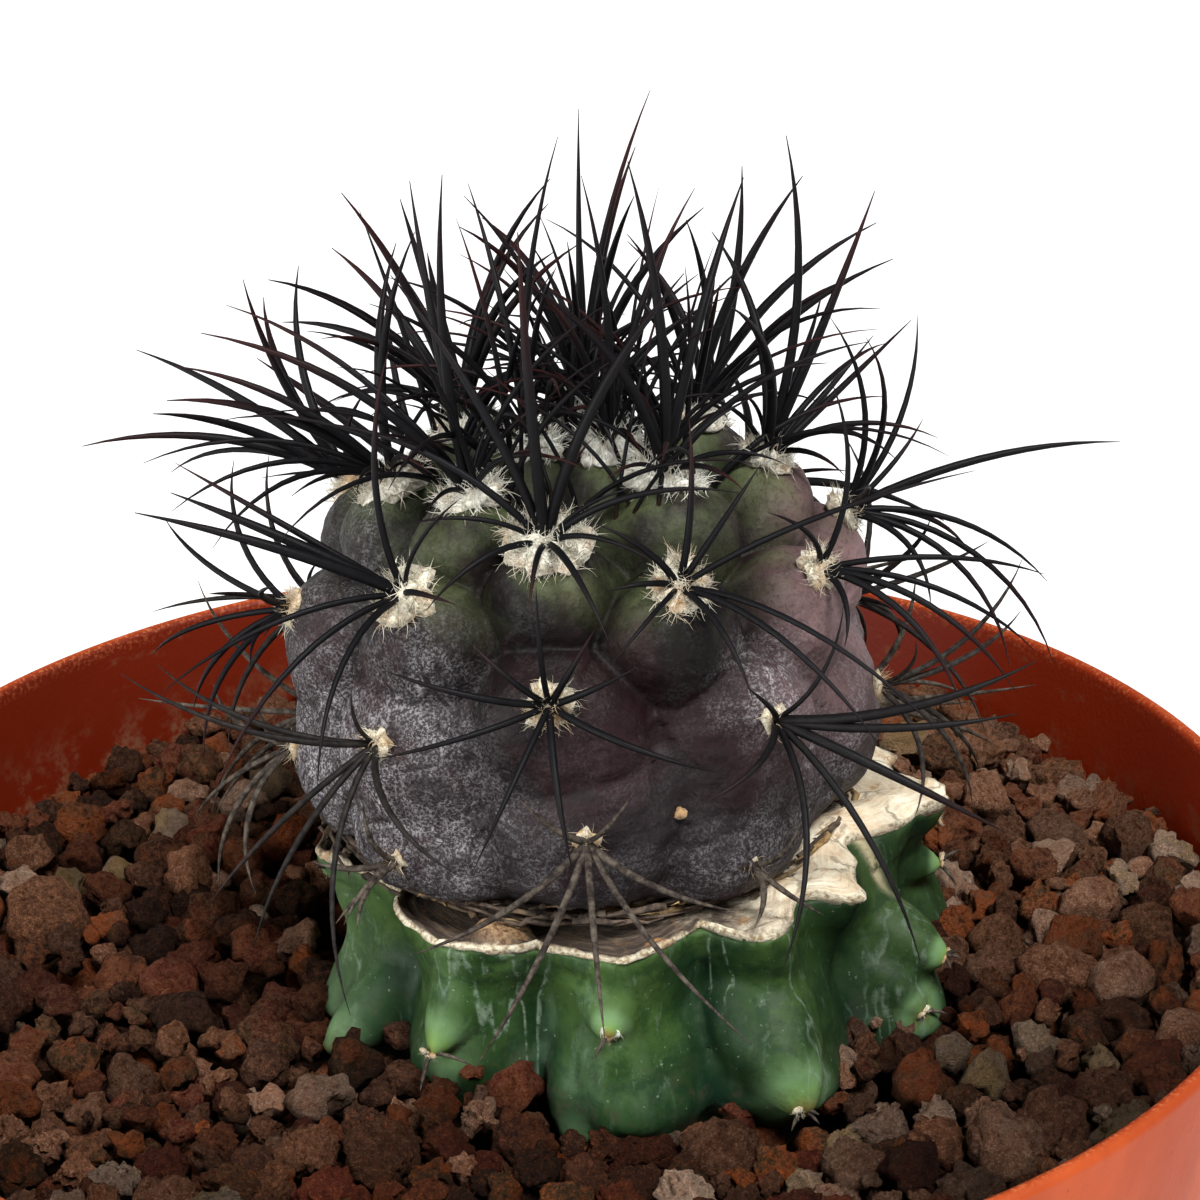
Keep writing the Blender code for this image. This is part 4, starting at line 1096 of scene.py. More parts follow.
# %% Purple-grey skin
def skin_finish():
    """Olive to purple skin under grainy wax; painted light on its sides, painted shade at the waist, grooves
    and folds.
    """
    finish = Finish("copiapoa_skin", specular_ior_level=0.14, subsurface_weight=0.03, subsurface_scale=0.0015)
    down, groove, fold, woolly = finish.kept("down", "groove", "fold", "woolly")
    east, waxy = finish.kept("east", "frost")
    cloud = finish.grain(120, 4, 0.6)
    patch = finish.grain(85, 4, 0.62, 0.4)
    # The darkest band, about halfway down, is partly painted shade under the upper tubercles.
    finish.colour = finish.ramp(down + (cloud - 0.5) * 0.30, (
        (0.12, (0.036, 0.033, 0.024)), (0.32, (0.016, 0.013, 0.011)), (0.48, (0.004, 0.003, 0.003)),
        (0.62, (0.008, 0.0055, 0.006)), (0.80, (0.019, 0.014, 0.015)), (0.98, (0.023, 0.018, 0.020))))
    maroon = patch.between(0.48, 0.62) * down.between(0.28, 0.44)
    finish.lay((0.030, 0.008, 0.010), maroon * 0.4)
    # Pinker and paler on the right: partly the skin's own colour, partly a painted highlight.
    pink_and_painted_highlight = east.between(0.42, 0.92) * (1 - down.between(0.60, 0.92)) * (0.2 + cloud)
    finish.lay((0.250, 0.150, 0.150), pink_and_painted_highlight)
    # Painted light on the upper left of the body.
    west_painted_light = (1 - finish.axis("X").between(-0.025, -0.009)) * (1 - down.between(0.50, 0.75))
    finish.lay((0.076, 0.060, 0.062), west_painted_light * (0.35 + cloud * 0.6))
    young = 1 - down.between(0.34, 0.60)
    green = (woolly * 0.75 + groove * 0.8).least(1.0) * young * finish.grain(170, 3).between(0.40, 0.62)
    finish.lay((0.115, 0.145, 0.060), green * 0.80)
    clump = finish.grain(300, 5, 0.75, 0.3).between(0.43, 0.58)
    crackle = finish.warped(finish.place, 300, 0.0016)
    crackle = finish.cell_edges(230, crackle)
    crackle_edge = crackle.between(0.02, 0.06) * (1 - crackle.between(0.06, 0.22))
    salt = finish.grain(4200, 2, 0.8).between(0.44, 0.60)
    frost = (waxy * (0.15 + clump * 0.60 + crackle_edge * 0.5) + clump * 0.06) * (0.10 + salt * 0.90)
    finish.lay((0.56, 0.53, 0.55), frost * 0.46)
    pits = finish.grain(2300, 3, 0.7).between(0.38, 0.50)
    shade = (pits * 0.3 + 0.7) * (1 - groove * (0.75 - down.between(0.50, 0.75) * 0.5)) * (1 - fold * 0.45)
    finish.colour = finish.mix((0.003, 0.002, 0.002), finish.colour, shade)
    finish.paint()
    finish.set("Roughness", 0.44 + cloud * 0.2 + frost * 0.2)
    height = salt * frost * 0.7 + finish.grain(1900, 3) * 0.5 + finish.grain(420, 4) * 0.6
    finish.bump(height, 0.40, 0.0006)
    return finish


new_piece("copiapoa_skin", skin_mesh(), skin_finish(), "scion")

# %% [markdown]
# ## The spines
#
# A spine leaves its areole steeply and bends away. The solid model has the large ones with three sides
# each. Here every spine is a path of points with its thickness kept on each, and one Geometry Nodes tree
# sweeps a round section along all of them. The same paths serve again, and thinner radial spines and the
# upright young ones of the crown join them by a seeded rule.

# %% Paths of the spines
SPINE_ROOT = 0.0012
SPINE_STEPS = 12
SPINE_RADIUS = 0.00027
CENTRAL_RADIUS = 0.00041
CENTRAL_LEAN = 50
CENTRAL_LENGTH = 17
BEND_LEAST = 14
BEND_PER_LEAN = 0.85
SKIN_CLEARANCE = 0.0003
STOCK_CLEARANCE = (0.0016, 0.0058)
GRIT_CLEARANCE = 0.0065
# Star of a hidden areole, young or old: spines in its ring, their lean, and the longest in mm.
STAR_YOUNG = (6, 40, 21)
STAR_OLD = (4, 58, 17)
STAR_OLD_ARC = 0.030
STAR_HOUR_SHIFT = 0.5
STAR_LEAN_SHIFT = (-9, 12)
STAR_LENGTHS = (0.72, 1.05)
STAR_CENTRAL_LEAN = 14
# A spine that would run into something is raised by some degrees, and again.
RAISE = 5
RAISE_ROUNDS = 12
# Thin radial spines: how many more on a young areole, on an old one that shows and on a hidden one.
RADIALS = (5, 1, 3)
RADIAL_YOUNG_AGE = 0.36
RADIAL_LONG_AGE = 0.7
RADIAL_LONG = (0.007, 0.012)
RADIAL_SHORT = (0.005, 0.008)
RADIAL_LEAN = (58, 76)
RADIAL_RADIUS = (0.00018, 0.00026)
CROWN_SPINES = 88
CROWN_REACH = 0.0120
CROWN_AGE = 0.12
CROWN_SLIM = 0.78
CROWN_LEAN = 78
CROWN_LENGTH = (0.012, 0.021)
CROWN_RADIUS = (0.00015, 0.00026)
MAROON_SHARE = 0.35

Spine = namedtuple("Spine", "points radius age young")


def blocked(points):
    """True where a spine would run into the flesh, the rootstock or the grit."""
    from_scion = np.hypot(points[:, 0] - SCION_CENTRE[0], points[:, 1] - SCION_CENTRE[1])
    reach = np.interp(points[:, 2], HEIGHTS[::-1], RADII[::-1], left=0.0, right=0.0)
    if np.any(from_scion < reach + SKIN_CLEARANCE):
        return True
    above, beside = STOCK_CLEARANCE
    from_stock = np.hypot(points[:, 0] - STOCK_CENTRE[0], points[:, 1] - STOCK_CENTRE[1])
    if np.any((points[:, 2] < STOCK_TOP + above) & (from_stock < STOCK_RADIUS + beside)):
        return True
    return bool(np.any(points[:, 2] < GRIT_LEVEL + GRIT_CLEARANCE))


def spine_path(azimuth, arc, hour, lean, length):
    """Centre line of a curved spine; one that would run into something stands up more."""
    root, normal = tubercle_point(np.array(float(azimuth)), np.array(arc))
    angle = math.radians(azimuth)
    side = np.array((-math.sin(angle), math.cos(angle), 0.0))
    turn = math.radians(hour * 30)
    spread = np.cross(normal, side) * math.cos(turn) + side * math.sin(turn)
    bend = BEND_LEAST + BEND_PER_LEAN * lean
    for attempt in range(RAISE_ROUNDS):
        now = np.radians(lean + bend * ((np.arange(SPINE_STEPS) + 0.5) / SPINE_STEPS - 0.5))
        course = normal * np.cos(now)[:, None] + spread * np.sin(now)[:, None]
        points = root + np.cumsum(course * length / SPINE_STEPS, axis=0)
        if not blocked(points[3:]):
            break
        lean -= RAISE
    return np.concatenate([[root - normal * SPINE_ROOT, root], points])


def star_of(areole, draw):
    """Spines of an areole: those read from the photograph, or an even star where it is hidden."""
    if areole.spines:
        return areole.spines
    count, lean, longest = STAR_OLD if areole.arc > STAR_OLD_ARC else STAR_YOUNG
    star = []
    first = draw.uniform(0, 12)
    for number in range(count):
        hour = first + 12 * number / count + draw.uniform(-1, 1) * STAR_HOUR_SHIFT
        tilt = lean + draw.uniform(*STAR_LEAN_SHIFT)
        star.append((hour, tilt, longest * draw.uniform(*STAR_LENGTHS)))
    star.append((draw.uniform(0, 12), STAR_CENTRAL_LEAN, longest))
    return star


def maroon(age, draw):
    """How red a spine's tip is: only some of the young ones are."""
    return (1 - age) * (1.0 if draw.random() < MAROON_SHARE else 0.15)


def all_spines():
    """Large spines of every areole, thin ones in the widest gaps of each star, and those of the crown."""
    draw = random.Random(5)
    more = random.Random(8)
    young, shown, hidden = RADIALS
    spines = []
    for areole in AREOLES:
        age = areole.arc / ARCS[-1]
        star = star_of(areole, draw)
        for hour, lean, length in star:
            central = lean < CENTRAL_LEAN and length > CENTRAL_LENGTH
            points = spine_path(areole.azimuth, areole.arc, hour, lean, length * 0.001)
            radius = CENTRAL_RADIUS if central else SPINE_RADIUS
            radius *= more.uniform(0.9, 1.08) * (CROWN_SLIM if age < CROWN_AGE else 1.0)
            spines.append(Spine(points, radius, age, maroon(age, more)))
        extra = young if age < RADIAL_YOUNG_AGE else shown if areole.spines else hidden
        hours = sorted(hour % 12 for hour, lean, length in star)
        gaps = sorted(zip(hours, hours[1:] + [hours[0] + 12]), key=lambda pair: pair[0] - pair[1])
        for first, last in gaps[:extra]:
            hour = first + (last - first) * more.uniform(0.35, 0.65)
            length = more.uniform(*(RADIAL_LONG if age < RADIAL_LONG_AGE else RADIAL_SHORT))
            points = spine_path(areole.azimuth, areole.arc, hour, more.uniform(*RADIAL_LEAN), length)
            spines.append(Spine(points, more.uniform(*RADIAL_RADIUS), age, maroon(age, more)))
    for number in range(CROWN_SPINES):
        azimuth, arc = more.uniform(-180, 180), CROWN_REACH * math.sqrt(more.random())
        lean = CROWN_LEAN * more.random() ** 0.5
        points = spine_path(azimuth, arc, more.uniform(0, 12), lean, more.uniform(*CROWN_LENGTH))
        spines.append(Spine(points, more.uniform(*CROWN_RADIUS), 0.0, maroon(0.0, more)))
    return spines


# %% One tree that sweeps a round section along every path
SPINE_SIDES = 8
SPINE_TAPER = 3.4
SPINE_POINT = 0.08


def sweep_tree():
    """Tree that turns edges into tubes, whose thickness each point gives."""
    tree, wires = new_tree("sweep", {"Sides": "Int", "Material": "Material"})
    curve = add_node(tree, "GeometryNodeMeshToCurve", {}, {"Mesh": wires["Source"]})
    circle = add_node(tree, "GeometryNodeCurvePrimitiveCircle", {}, {0: wires["Sides"], 4: 1.0})
    values = {"Curve": curve, "Profile Curve": circle, "Scale": named(tree, "girth"), "Fill Caps": True}
    end_tree(tree, wires, add_node(tree, "GeometryNodeCurveToMesh", {}, values))
    return tree


def swept_spines(spines, sides, finish):
    """Spines as one mesh of edges with numbers kept on each point, and the tubes that grow of it."""
    points, edges = [], []
    fields = {"girth": [], "along": [], "age": [], "young": []}
    for spine in spines:
        count = len(spine.points)
        edges += [(len(points) + i, len(points) + i + 1) for i in range(count - 1)]
        points += spine.points.tolist()
        along = np.linspace(0, 1, count)
        fields["girth"].extend(spine.radius * np.maximum(1 - along ** SPINE_TAPER, SPINE_POINT))
        fields["along"].extend(along)
        fields["age"].extend([spine.age] * count)
        fields["young"].extend([spine.young] * count)
    mesh = bpy.data.meshes.new("paths")
    mesh.from_pydata(points, edges, [])
    store(mesh, **fields)
    return grown_mesh(mesh, sweep_tree(), {"Sides": sides, "Material": finish.material})


# %% [markdown]
# Young spines are black brown with a blue sheen and maroon tips. They turn grey with age, so the lowest
# ones are dull and look fibrous. The age and the way along each spine come from the paths.

# %% Horn of the spines
def spine_finish():
    """Black brown horn that turns grey and dull with age."""
    finish = Finish("spines", specular_ior_level=0.12)
    along, age, young = finish.kept("along", "age", "young")
    bands = finish.grain(900, 4, 0.65)
    finish.colour = finish.mix((0.0012, 0.0014, 0.0020), (0.0060, 0.0052, 0.0062), bands)
    finish.lay((0.060, 0.010, 0.008), along.between(0.50, 1.0) * young * 0.5)
    finish.lay((0.050, 0.018, 0.008), (1 - along.between(0.02, 0.14)) * 0.6)
    old = age.between(0.66, 0.92)
    fibre = finish.grain(1400, 4, 0.7).between(0.35, 0.7)
    grey = finish.mix((0.030, 0.022, 0.018), (0.16, 0.13, 0.10), fibre)
    finish.lay(grey, old * 0.75)
    finish.paint()
    finish.set("Roughness", 0.42 + bands * 0.2 + old * 0.3)
    finish.bump(finish.grain(2600, 3), 0.15, 0.0002)
    return finish


spine_look = spine_finish()
spines = all_spines()
print(len(spines), "spines")
new_piece("spines_swept", swept_spines(spines, SPINE_SIDES, spine_look), None, "scion")

# %% [markdown]
# ## Wool
#
# Each areole carries a pad of felt, and loose hairs stand out of it. The pads are low uneven domes. A
# second tree scatters wisps over them, each a bent strand of three sides that tapers, with a random lean and
# width. The length of the wisps and how thick they stand are kept on the pads.

# %% Pads of felt
PAD_SMALL = 0.0012
# Lumps of a pad: height, shift of the noise from pad to pad, and its scale.
PAD_LUMPS = ((0.50, 700, 1.8), (0.28, 900, 5.0), (0.10, 300, 9.0))

Pad = namedtuple("Pad", "root normal radius squat hair tint")


def pads_mesh(pads):
    """Uneven domes of felt, with what their hairs and their colour depend on."""
    mesh = bpy.data.meshes.new("pads")
    fields = {"hair": [], "cover": [], "tint": [], "rise": [], "around": []}
    with edited(mesh) as bm:
        for pad in pads:
            root, turn = Vector(pad.root), Vector(pad.normal).to_track_quat("Z", "Y")
            fineness = 3 if pad.radius > PAD_SMALL else 2
            for vertex in bmesh.ops.create_icosphere(bm, subdivisions=fineness, radius=1.0)["verts"]:
                way = vertex.co.copy()
                lump = 1.0
                for height, shift, scale in PAD_LUMPS:
                    lump += height * noise.noise(root * shift + way * scale)
                local = way * pad.radius * lump
                local.z *= pad.squat
                vertex.co = root + turn @ local
                out = max(math.hypot(way.x, way.y), 0.25)
                fields["hair"].append(pad.hair)
                fields["cover"].append(1.0 if way.z > 0.05 else 0.0)
                fields["tint"].append(pad.tint)
                fields["rise"].append(max(0.0, way.z))
                fields["around"].append((way.x / out + pad.radius * 9000, way.y / out, way.z * 0.3))
    store(mesh, **fields)
    return mesh


# %% A tree that grows hairs
WOOL_DENSITY = 1.7e7
HAIR_GIRTH = 0.034
# Degrees, and metres down from the crown.
STRAY_TUFT = (-71.5, 0.0379)
PAD_SHARE = 0.78
PAD_SQUAT = 0.46


def fur_tree():
    """Tree that scatters bent, tapering strands over pads."""
    inputs = {"Density": "Float", "Girth": "Float", "Seed": "Int", "Material": "Material"}
    tree, wires = new_tree("fur", inputs)
    density = wires["Density"] * named(tree, "cover")
    values = {"Mesh": wires["Source"], "Density": density, "Seed": wires["Seed"]}
    spots = add_node(tree, "GeometryNodeDistributePointsOnFaces", {}, values)
    upright = Wire(tree, spots.socket.node.outputs["Rotation"])
    limits = {0: (-0.95, -0.95, -3.1), 1: (0.95, 0.95, 3.1), 8: wires["Seed"]}
    lean = drawn(tree, "FLOAT_VECTOR", limits)
    lean = add_node(tree, "FunctionNodeEulerToRotation", {}, [lean])
    values = {"Rotation": upright, "Rotate By": lean}
    lean = add_node(tree, "FunctionNodeRotateRotation", {"rotation_space": "LOCAL"}, values)
    values = {"Resolution": 2, "Start": (0, 0, -0.1), "Middle": (0, 0, 0.6), "End": (0.30, 0.05, 0.98)}
    strand = add_node(tree, "GeometryNodeCurveQuadraticBezier", {}, values)
    circle = add_node(tree, "GeometryNodeCurvePrimitiveCircle", {}, {0: 3, 4: wires["Girth"]})
    taper = 1 - add_node(tree, "GeometryNodeSplineParameter", {}, {}) * 0.88
    values = {"Curve": strand, "Profile Curve": circle, "Scale": taper, "Fill Caps": True}
    strand = add_node(tree, "GeometryNodeCurveToMesh", {}, values)
    size = drawn(tree, "FLOAT", {2: 0.55, 3: 1.25}) * named(tree, "hair")
    width = drawn(tree, "FLOAT", {2: 0.35, 3: 1.5, 8: wires["Seed"]}) * size
    scale = add_node(tree, "ShaderNodeCombineXYZ", {}, [width, width, size])
    values = {"Points": spots, "Instance": strand, "Rotation": lean, "Scale": scale}
    hairs = add_node(tree, "GeometryNodeInstanceOnPoints", {}, values)
    joined = tree.nodes.new("GeometryNodeJoinGeometry")
    for part in (wires["Source"], hairs):
        tree.links.new(part.socket, joined.inputs[0])
    end_tree(tree, wires, Wire(tree, joined.outputs[0]))
    return tree


def wool_finish():
    """White to cream felt with painted shade between strands, brown at the edge of a pad and stained on the
    oldest ones.
    """
    finish = Finish("areole_wool", roughness=0.95, sheen_weight=0.25, sheen_roughness=0.5)
    tint, rise = finish.kept("tint", "rise")
    cloud = finish.grain(900, 4, 0.7)
    around = finish.node("ShaderNodeAttribute", {"attribute_name": "around"}, {}, "Vector")
    strands = finish.grain(7.0, 4, 0.75, place=around)
    fibre = (cloud * 0.35 + strands * 0.65).between(0.36, 0.60)
    # The darker end of both mixes is partly painted shade between the strands.
    white = finish.mix((0.40, 0.38, 0.29), (0.95, 0.95, 0.88), fibre)
    cream = finish.mix((0.25, 0.20, 0.11), (0.84, 0.79, 0.62), fibre)
    finish.colour = finish.mix(white, cream, tint.between(0.18, 0.36))
    edge = (1 - rise.between(0.0, 0.45)) * finish.grain(1500, 3, 0.7).between(0.38, 0.56)
    finish.lay((0.17, 0.115, 0.050), edge * (0.25 + tint))
    stained = finish.mix((0.22, 0.085, 0.020), (0.50, 0.27, 0.07), cloud)
    stain = (tint + finish.grain(420, 4, 0.7) * 1.3 - 0.86).between(0.0, 0.4)
    finish.lay(stained, stain * 0.8)
    finish.paint()
    finish.bump(finish.grain(3200, 3, 0.7) * 0.5 + strands, 0.35, 0.0003)
    return finish


def areole_pads():
    """A pad for each areole, and a stray tuft that lies on the skin in front."""
    pads = []
    roots, normals = tubercle_point(AREOLE_AZIMUTHS, AREOLE_ARCS)
    for areole, root, normal in zip(AREOLES, roots, normals):
        age = areole.arc / ARCS[-1]
        tint = 0.15 + 0.35 * age
        hair = 0.0009 + areole.wool * 0.20 * (1 - age)
        pads.append(Pad(root, normal, areole.wool * PAD_SHARE, PAD_SQUAT, hair, tint))
    speck, outward = tubercle_point(*np.array(STRAY_TUFT))
    pads.append(Pad(speck, outward, 0.0005, 0.8, 0.0, 1.6))
    return pads


wool_look = wool_finish()
fur = fur_tree()
wool_inputs = {"Density": WOOL_DENSITY, "Girth": HAIR_GIRTH, "Seed": 4, "Material": wool_look.material}
new_piece("wool", grown_mesh(pads_mesh(areole_pads()), fur, wool_inputs), None, "scion")

# %% [markdown]
# ## Areoles of the stump, and the joint
#
# The stump's blunt tubercles end in small pale areoles with a few short tan spines. The same trees make
# them. At the joint of the two plants hangs a ring of dead fibres, laid as bent paths round the foot.

# %% Small areoles and fibres
# Broken spines that the photograph shows on the first tubercle: course and length.
KNOWN_STUBS = [((-0.35, -0.3, -0.9), 0.0031), ((1.0, -0.3, 0.05), 0.0034)]
TUFT_DENSITY = 2.0e7
TUFT_GIRTH = 0.04
FIBRES = 420
FIBRE_RING = (0.0180, 0.0211)
FIBRE_STEPS = 6


def stock_areoles():
    """Small uneven felt on the tips of the tubercles, and broken spines that are left on them."""
    draw = random.Random(21)
    bend = Vector((0, 0, -0.25))
    pads, spines = [], []
    for peg in PEGS[:-BURIED_PEGS]:
        root, aim = peg_frame(peg)
        tip = root + aim * (peg.length * 0.90)
        side = aim.orthogonal().normalized()
        for number in range(3):
            around = Matrix.Rotation(2 * math.pi * number / 3 + 0.5, 3, aim) @ side
            place = tip + around * draw.uniform(0.0002, 0.0006) + aim * 0.0002
            size = draw.uniform(0.00028, 0.00050)
            pads.append(Pad(tuple(place), tuple(aim), size, 0.55, 0.0004, draw.uniform(0.15, 0.60)))
        for number in range(2 if peg is PEGS[0] else draw.randint(1, 3)):
            around = Matrix.Rotation(draw.uniform(0, 2 * math.pi), 3, aim) @ side
            course = (aim * draw.uniform(0.5, 1.0) + around).normalized()
            length = draw.uniform(0.0012, 0.0026)
            if peg is PEGS[0]:
                course, length = KNOWN_STUBS[number]
                course = Vector(course).normalized()
            steps = [tip + (course + bend * step / 5).normalized() * length * step / 5 for step in range(6)]
            spines.append(Spine(np.array(steps), draw.uniform(0.00014, 0.00022), 1.2, 0.0))
    return pads, spines


def fibres():
    """Dead fibres that run round the foot of the copiapoa, each bent and a little wavy."""
    draw = random.Random(33)
    paths = []
    for number in range(FIBRES):
        angle = draw.uniform(0, 2 * math.pi)
        radius = draw.uniform(*FIBRE_RING)
        span = draw.uniform(-0.35, 0.35)
        height = SCION_BASE + draw.uniform(-0.0004, 0.0012)
        drift = draw.uniform(-0.0008, 0.0010)
        points = []
        for step in range(FIBRE_STEPS + 1):
            now = angle + span * step / FIBRE_STEPS
            wave = 0.0003 * math.sin(step * draw.uniform(0.8, 2.0))
            out = radius + drift * step / FIBRE_STEPS + wave
            points.append((SCION_CENTRE[0] + out * math.cos(now), SCION_CENTRE[1] + out * math.sin(now),
                           height + wave + draw.uniform(-0.0001, 0.0001)))
        paths.append(Spine(np.array(points), draw.uniform(0.00012, 0.00034), draw.random(), 0.0))
    return paths


def fibre_finish():
    """Dark and golden dead fibre."""
    finish = Finish("dead_fibre", roughness=0.85)
    age, = finish.kept("age")
    grain = finish.grain(900, 4, 0.7).between(0.35, 0.62)
    dark = finish.mix((0.020, 0.012, 0.009), (0.110, 0.075, 0.050), grain)
    gold = finish.mix((0.20, 0.100, 0.030), (0.48, 0.33, 0.14), grain)
    share = age.between(0.72, 0.90) * finish.grain(90, 2).between(0.42, 0.56)
    finish.set("Base Color", finish.mix(dark, gold, share))
    return finish


stock_pads, stock_spines = stock_areoles()
tuft_inputs = {"Density": TUFT_DENSITY, "Girth": TUFT_GIRTH, "Seed": 9, "Material": wool_look.material}
stock_wool = grown_mesh(pads_mesh(stock_pads), fur, tuft_inputs)
new_piece("rootstock_wool", stock_wool, None, "rootstock")
new_piece("rootstock_spines", swept_spines(stock_spines, 6, spine_look), None, "rootstock")
new_piece("graft_fibres", swept_spines(fibres(), 4, fibre_finish()), None, "rootstock")

# %% [markdown]
# ## Lava grit
#
# The pot is filled with broken lava, four to eight millimetres across, brown to rust red with a few grey
# and ochre stones. Simulated falling would take long and be hard to steer. Here discs on a plane push each
# other apart until they fit, in two layers, and each disc gets a lump: a ball cut by random planes. A tree
# copies the lumps to the discs with random turns, then roughens the whole with noise and pores.

# %% Discs that push each other apart
# Two layers: height over the grit's level, number of stones, and their least and greatest radius.
STONE_LAYERS = ((0.0004, 800, (0.0009, 0.0040)), (-0.0026, 400, (0.0020, 0.0034)))
STONE_ROUNDS = 90
STONE_FIELD = 0.058
STONE_SPACING = 1.02
STONE_PUSH = 0.35
# How far the stones may lie over the foot of the rootstock and how close they come to the wall.
STOCK_OVERLAP = (0.0006, 0.62)
WALL_GAP = (0.0004, 0.95)
STONE_UNEVEN = 0.0010
GRIT_TILT = 0.032
NEAR_EDGE = -0.024
SMALL_STONE = 0.0013
LARGE_STONE = 0.0016
# Stones that stand out in the photograph: x, y, radius and tone.
KNOWN_STONES = [
    (-0.0421, 0.0094, 0.0044, 0.61),
    (-0.0415, 0.0160, 0.0024, 0.99),
    (-0.0336, 0.0258, 0.0023, 0.98),
    (-0.0251, 0.0313, 0.0024, 0.97),
    (-0.0111, -0.0300, 0.0035, 0.60),
    (0.0380, -0.0295, 0.0034, 0.68),
]
# A hollow before the rootstock and a low mound beside it: degrees, width in degrees, depth or height.
HOLLOW = (-78, 25, 0.0032)
MOUND = (-121, 20, 0.0013)
HOLLOW_REACH = 0.0130


def peg_discs():
    """Discs that keep the stones off the rootstock's tubercles."""
    discs = []
    for peg in PEGS:
        root, aim = peg_frame(peg)
        middle = root + aim * peg.length * 0.6
        if middle.z < GRIT_LEVEL + 0.006:
            discs.append((middle.x, middle.y, peg.radius, 0.0))
    return discs


def hollow(place):
    """How much lower the grit lies in front of the rootstock, where its foot shows, or higher beside it."""
    azimuth, distance = stock_polar(place)
    beside = distance - stock_radius(azimuth, GRIT_LEVEL)
    reach = np.exp(-(np.clip(beside, 0, None) / HOLLOW_REACH) ** 2)
    return reach * (hill(azimuth, *HOLLOW) - hill(azimuth, *MOUND))


def pack_stones(count, radii, known, draw):
    """Plane positions of stones in the ring between the pot and the rootstock."""
    least, most = radii
    radius = np.array([least + (most - least) * draw.betavariate(1.1, 2.8) for number in range(count)])
    angle = np.array([draw.uniform(-math.pi, math.pi) for number in range(count)])
    out = STONE_FIELD * np.sqrt([draw.uniform(0.15, 1.0) for number in range(count)])
    place = np.stack([out * np.cos(angle), out * np.sin(angle)], -1)
    for index, (x, y, size, tone) in enumerate(known):
        place[index] = x, y
        radius[index] = size
    held = np.arange(count) < len(known)
    reach = pot_inner_radius(GRIT_LEVEL) - WALL_GAP[0]
    for turn in range(STONE_ROUNDS):
        gap = place[:, None] - place
        apart = np.linalg.norm(gap, axis=2) + np.eye(count)
        push = np.clip((radius[:, None] + radius) * STONE_SPACING - apart, 0, None) * (1 - np.eye(count))
        place += (gap / apart[..., None] * push[..., None]).sum(axis=1) * STONE_PUSH * ~held[:, None]
        azimuth, distance = stock_polar(place)
        foot = stock_radius(azimuth, GRIT_LEVEL - 0.7 * hollow(place))
        least = foot - STOCK_OVERLAP[0] + radius * STOCK_OVERLAP[1]
        place += (place - STOCK_CENTRE) * (np.clip(least - distance, 0, None) / distance)[:, None]
        distance = np.linalg.norm(place, axis=1)
        place *= np.minimum(1, (reach - radius * WALL_GAP[1]) / distance)[:, None]
    return place, radius


# %% Lumps, and the tree that copies them
LUMPS = 14


def lump_mesh(name, subdivisions, draw):
    """A ball of radius 1, cut flat by a few random planes and squashed."""
    cuts = []
    for number in range(draw.randint(7, 11)):
        way = Vector((draw.gauss(0, 1), draw.gauss(0, 1), draw.gauss(0, 1))).normalized()
        cuts.append((way, draw.uniform(0.62, 0.88)))
    stretch = Vector((draw.uniform(0.85, 1.1), draw.uniform(0.8, 1.0), draw.uniform(0.68, 0.92)))
    mesh = bpy.data.meshes.new(name)
    with edited(mesh) as bm:
        bmesh.ops.create_icosphere(bm, subdivisions=subdivisions, radius=1.0)
        for vertex in bm.verts:
            for way, limit in cuts:
                vertex.co -= way * max(0.0, vertex.co.dot(way) - limit)
            vertex.co *= stretch
    return mesh


def stone_tree():
    """Tree that copies the lumps to points, turned and scaled, and roughens them."""
    tree, wires = new_tree("stones", {"Lumps": "Collection", "Seed": "Int", "Material": "Material"})
    values = {"Collection": wires["Lumps"], "Separate Children": True, "Reset Children": True}
    lumps = add_node(tree, "GeometryNodeCollectionInfo", {}, values)
    turn = drawn(tree, "FLOAT_VECTOR", {0: (-3.1, -0.7, -3.1), 1: (3.1, 0.7, 3.1), 8: wires["Seed"]})
    pick = drawn(tree, "INT", {4: 0, 5: LUMPS - 1, 8: wires["Seed"]})
    values = {"Points": wires["Source"], "Instance": lumps, "Pick Instance": True, "Instance Index": pick,
              "Rotation": turn, "Scale": named(tree, "size")}
    stones = add_node(tree, "GeometryNodeInstanceOnPoints", {}, values)
    stones = add_node(tree, "GeometryNodeRealizeInstances", {}, {"Geometry": stones})
    coarse = add_node(tree, "ShaderNodeTexNoise", {}, {"Scale": 330.0, "Detail": 5.0, "Roughness": 0.8}) - 0.5
    crumbs = add_node(tree, "ShaderNodeTexVoronoi", {}, {"Scale": 700.0}) - 0.4
    fine = add_node(tree, "ShaderNodeTexNoise", {}, {"Scale": 1700.0, "Detail": 2.0, "Roughness": 0.8}) - 0.5
    lift = coarse * 0.0030 - crumbs * 0.0008 + fine * 0.0013
    normal = add_node(tree, "GeometryNodeInputNormal", {}, {})
    values = {0: normal, "Scale": lift}
    offset = add_node(tree, "ShaderNodeVectorMath", {"operation": "SCALE"}, values)
    stones = add_node(tree, "GeometryNodeSetPosition", {}, {"Geometry": stones, "Offset": offset})
    end_tree(tree, wires, stones)
    return tree


def lump_collection(subdivisions):
    """The lumps that the tree picks from, always in the same shapes."""
    draw = random.Random(40)
    group = bpy.data.collections.new(f"lumps_{subdivisions}")
    bpy.context.scene.collection.children.link(group)
    for number in range(LUMPS):
        mesh = lump_mesh(f"lump_{subdivisions}_{number:02d}", subdivisions, draw)
        group.objects.link(bpy.data.objects.new(mesh.name, mesh))
    return group


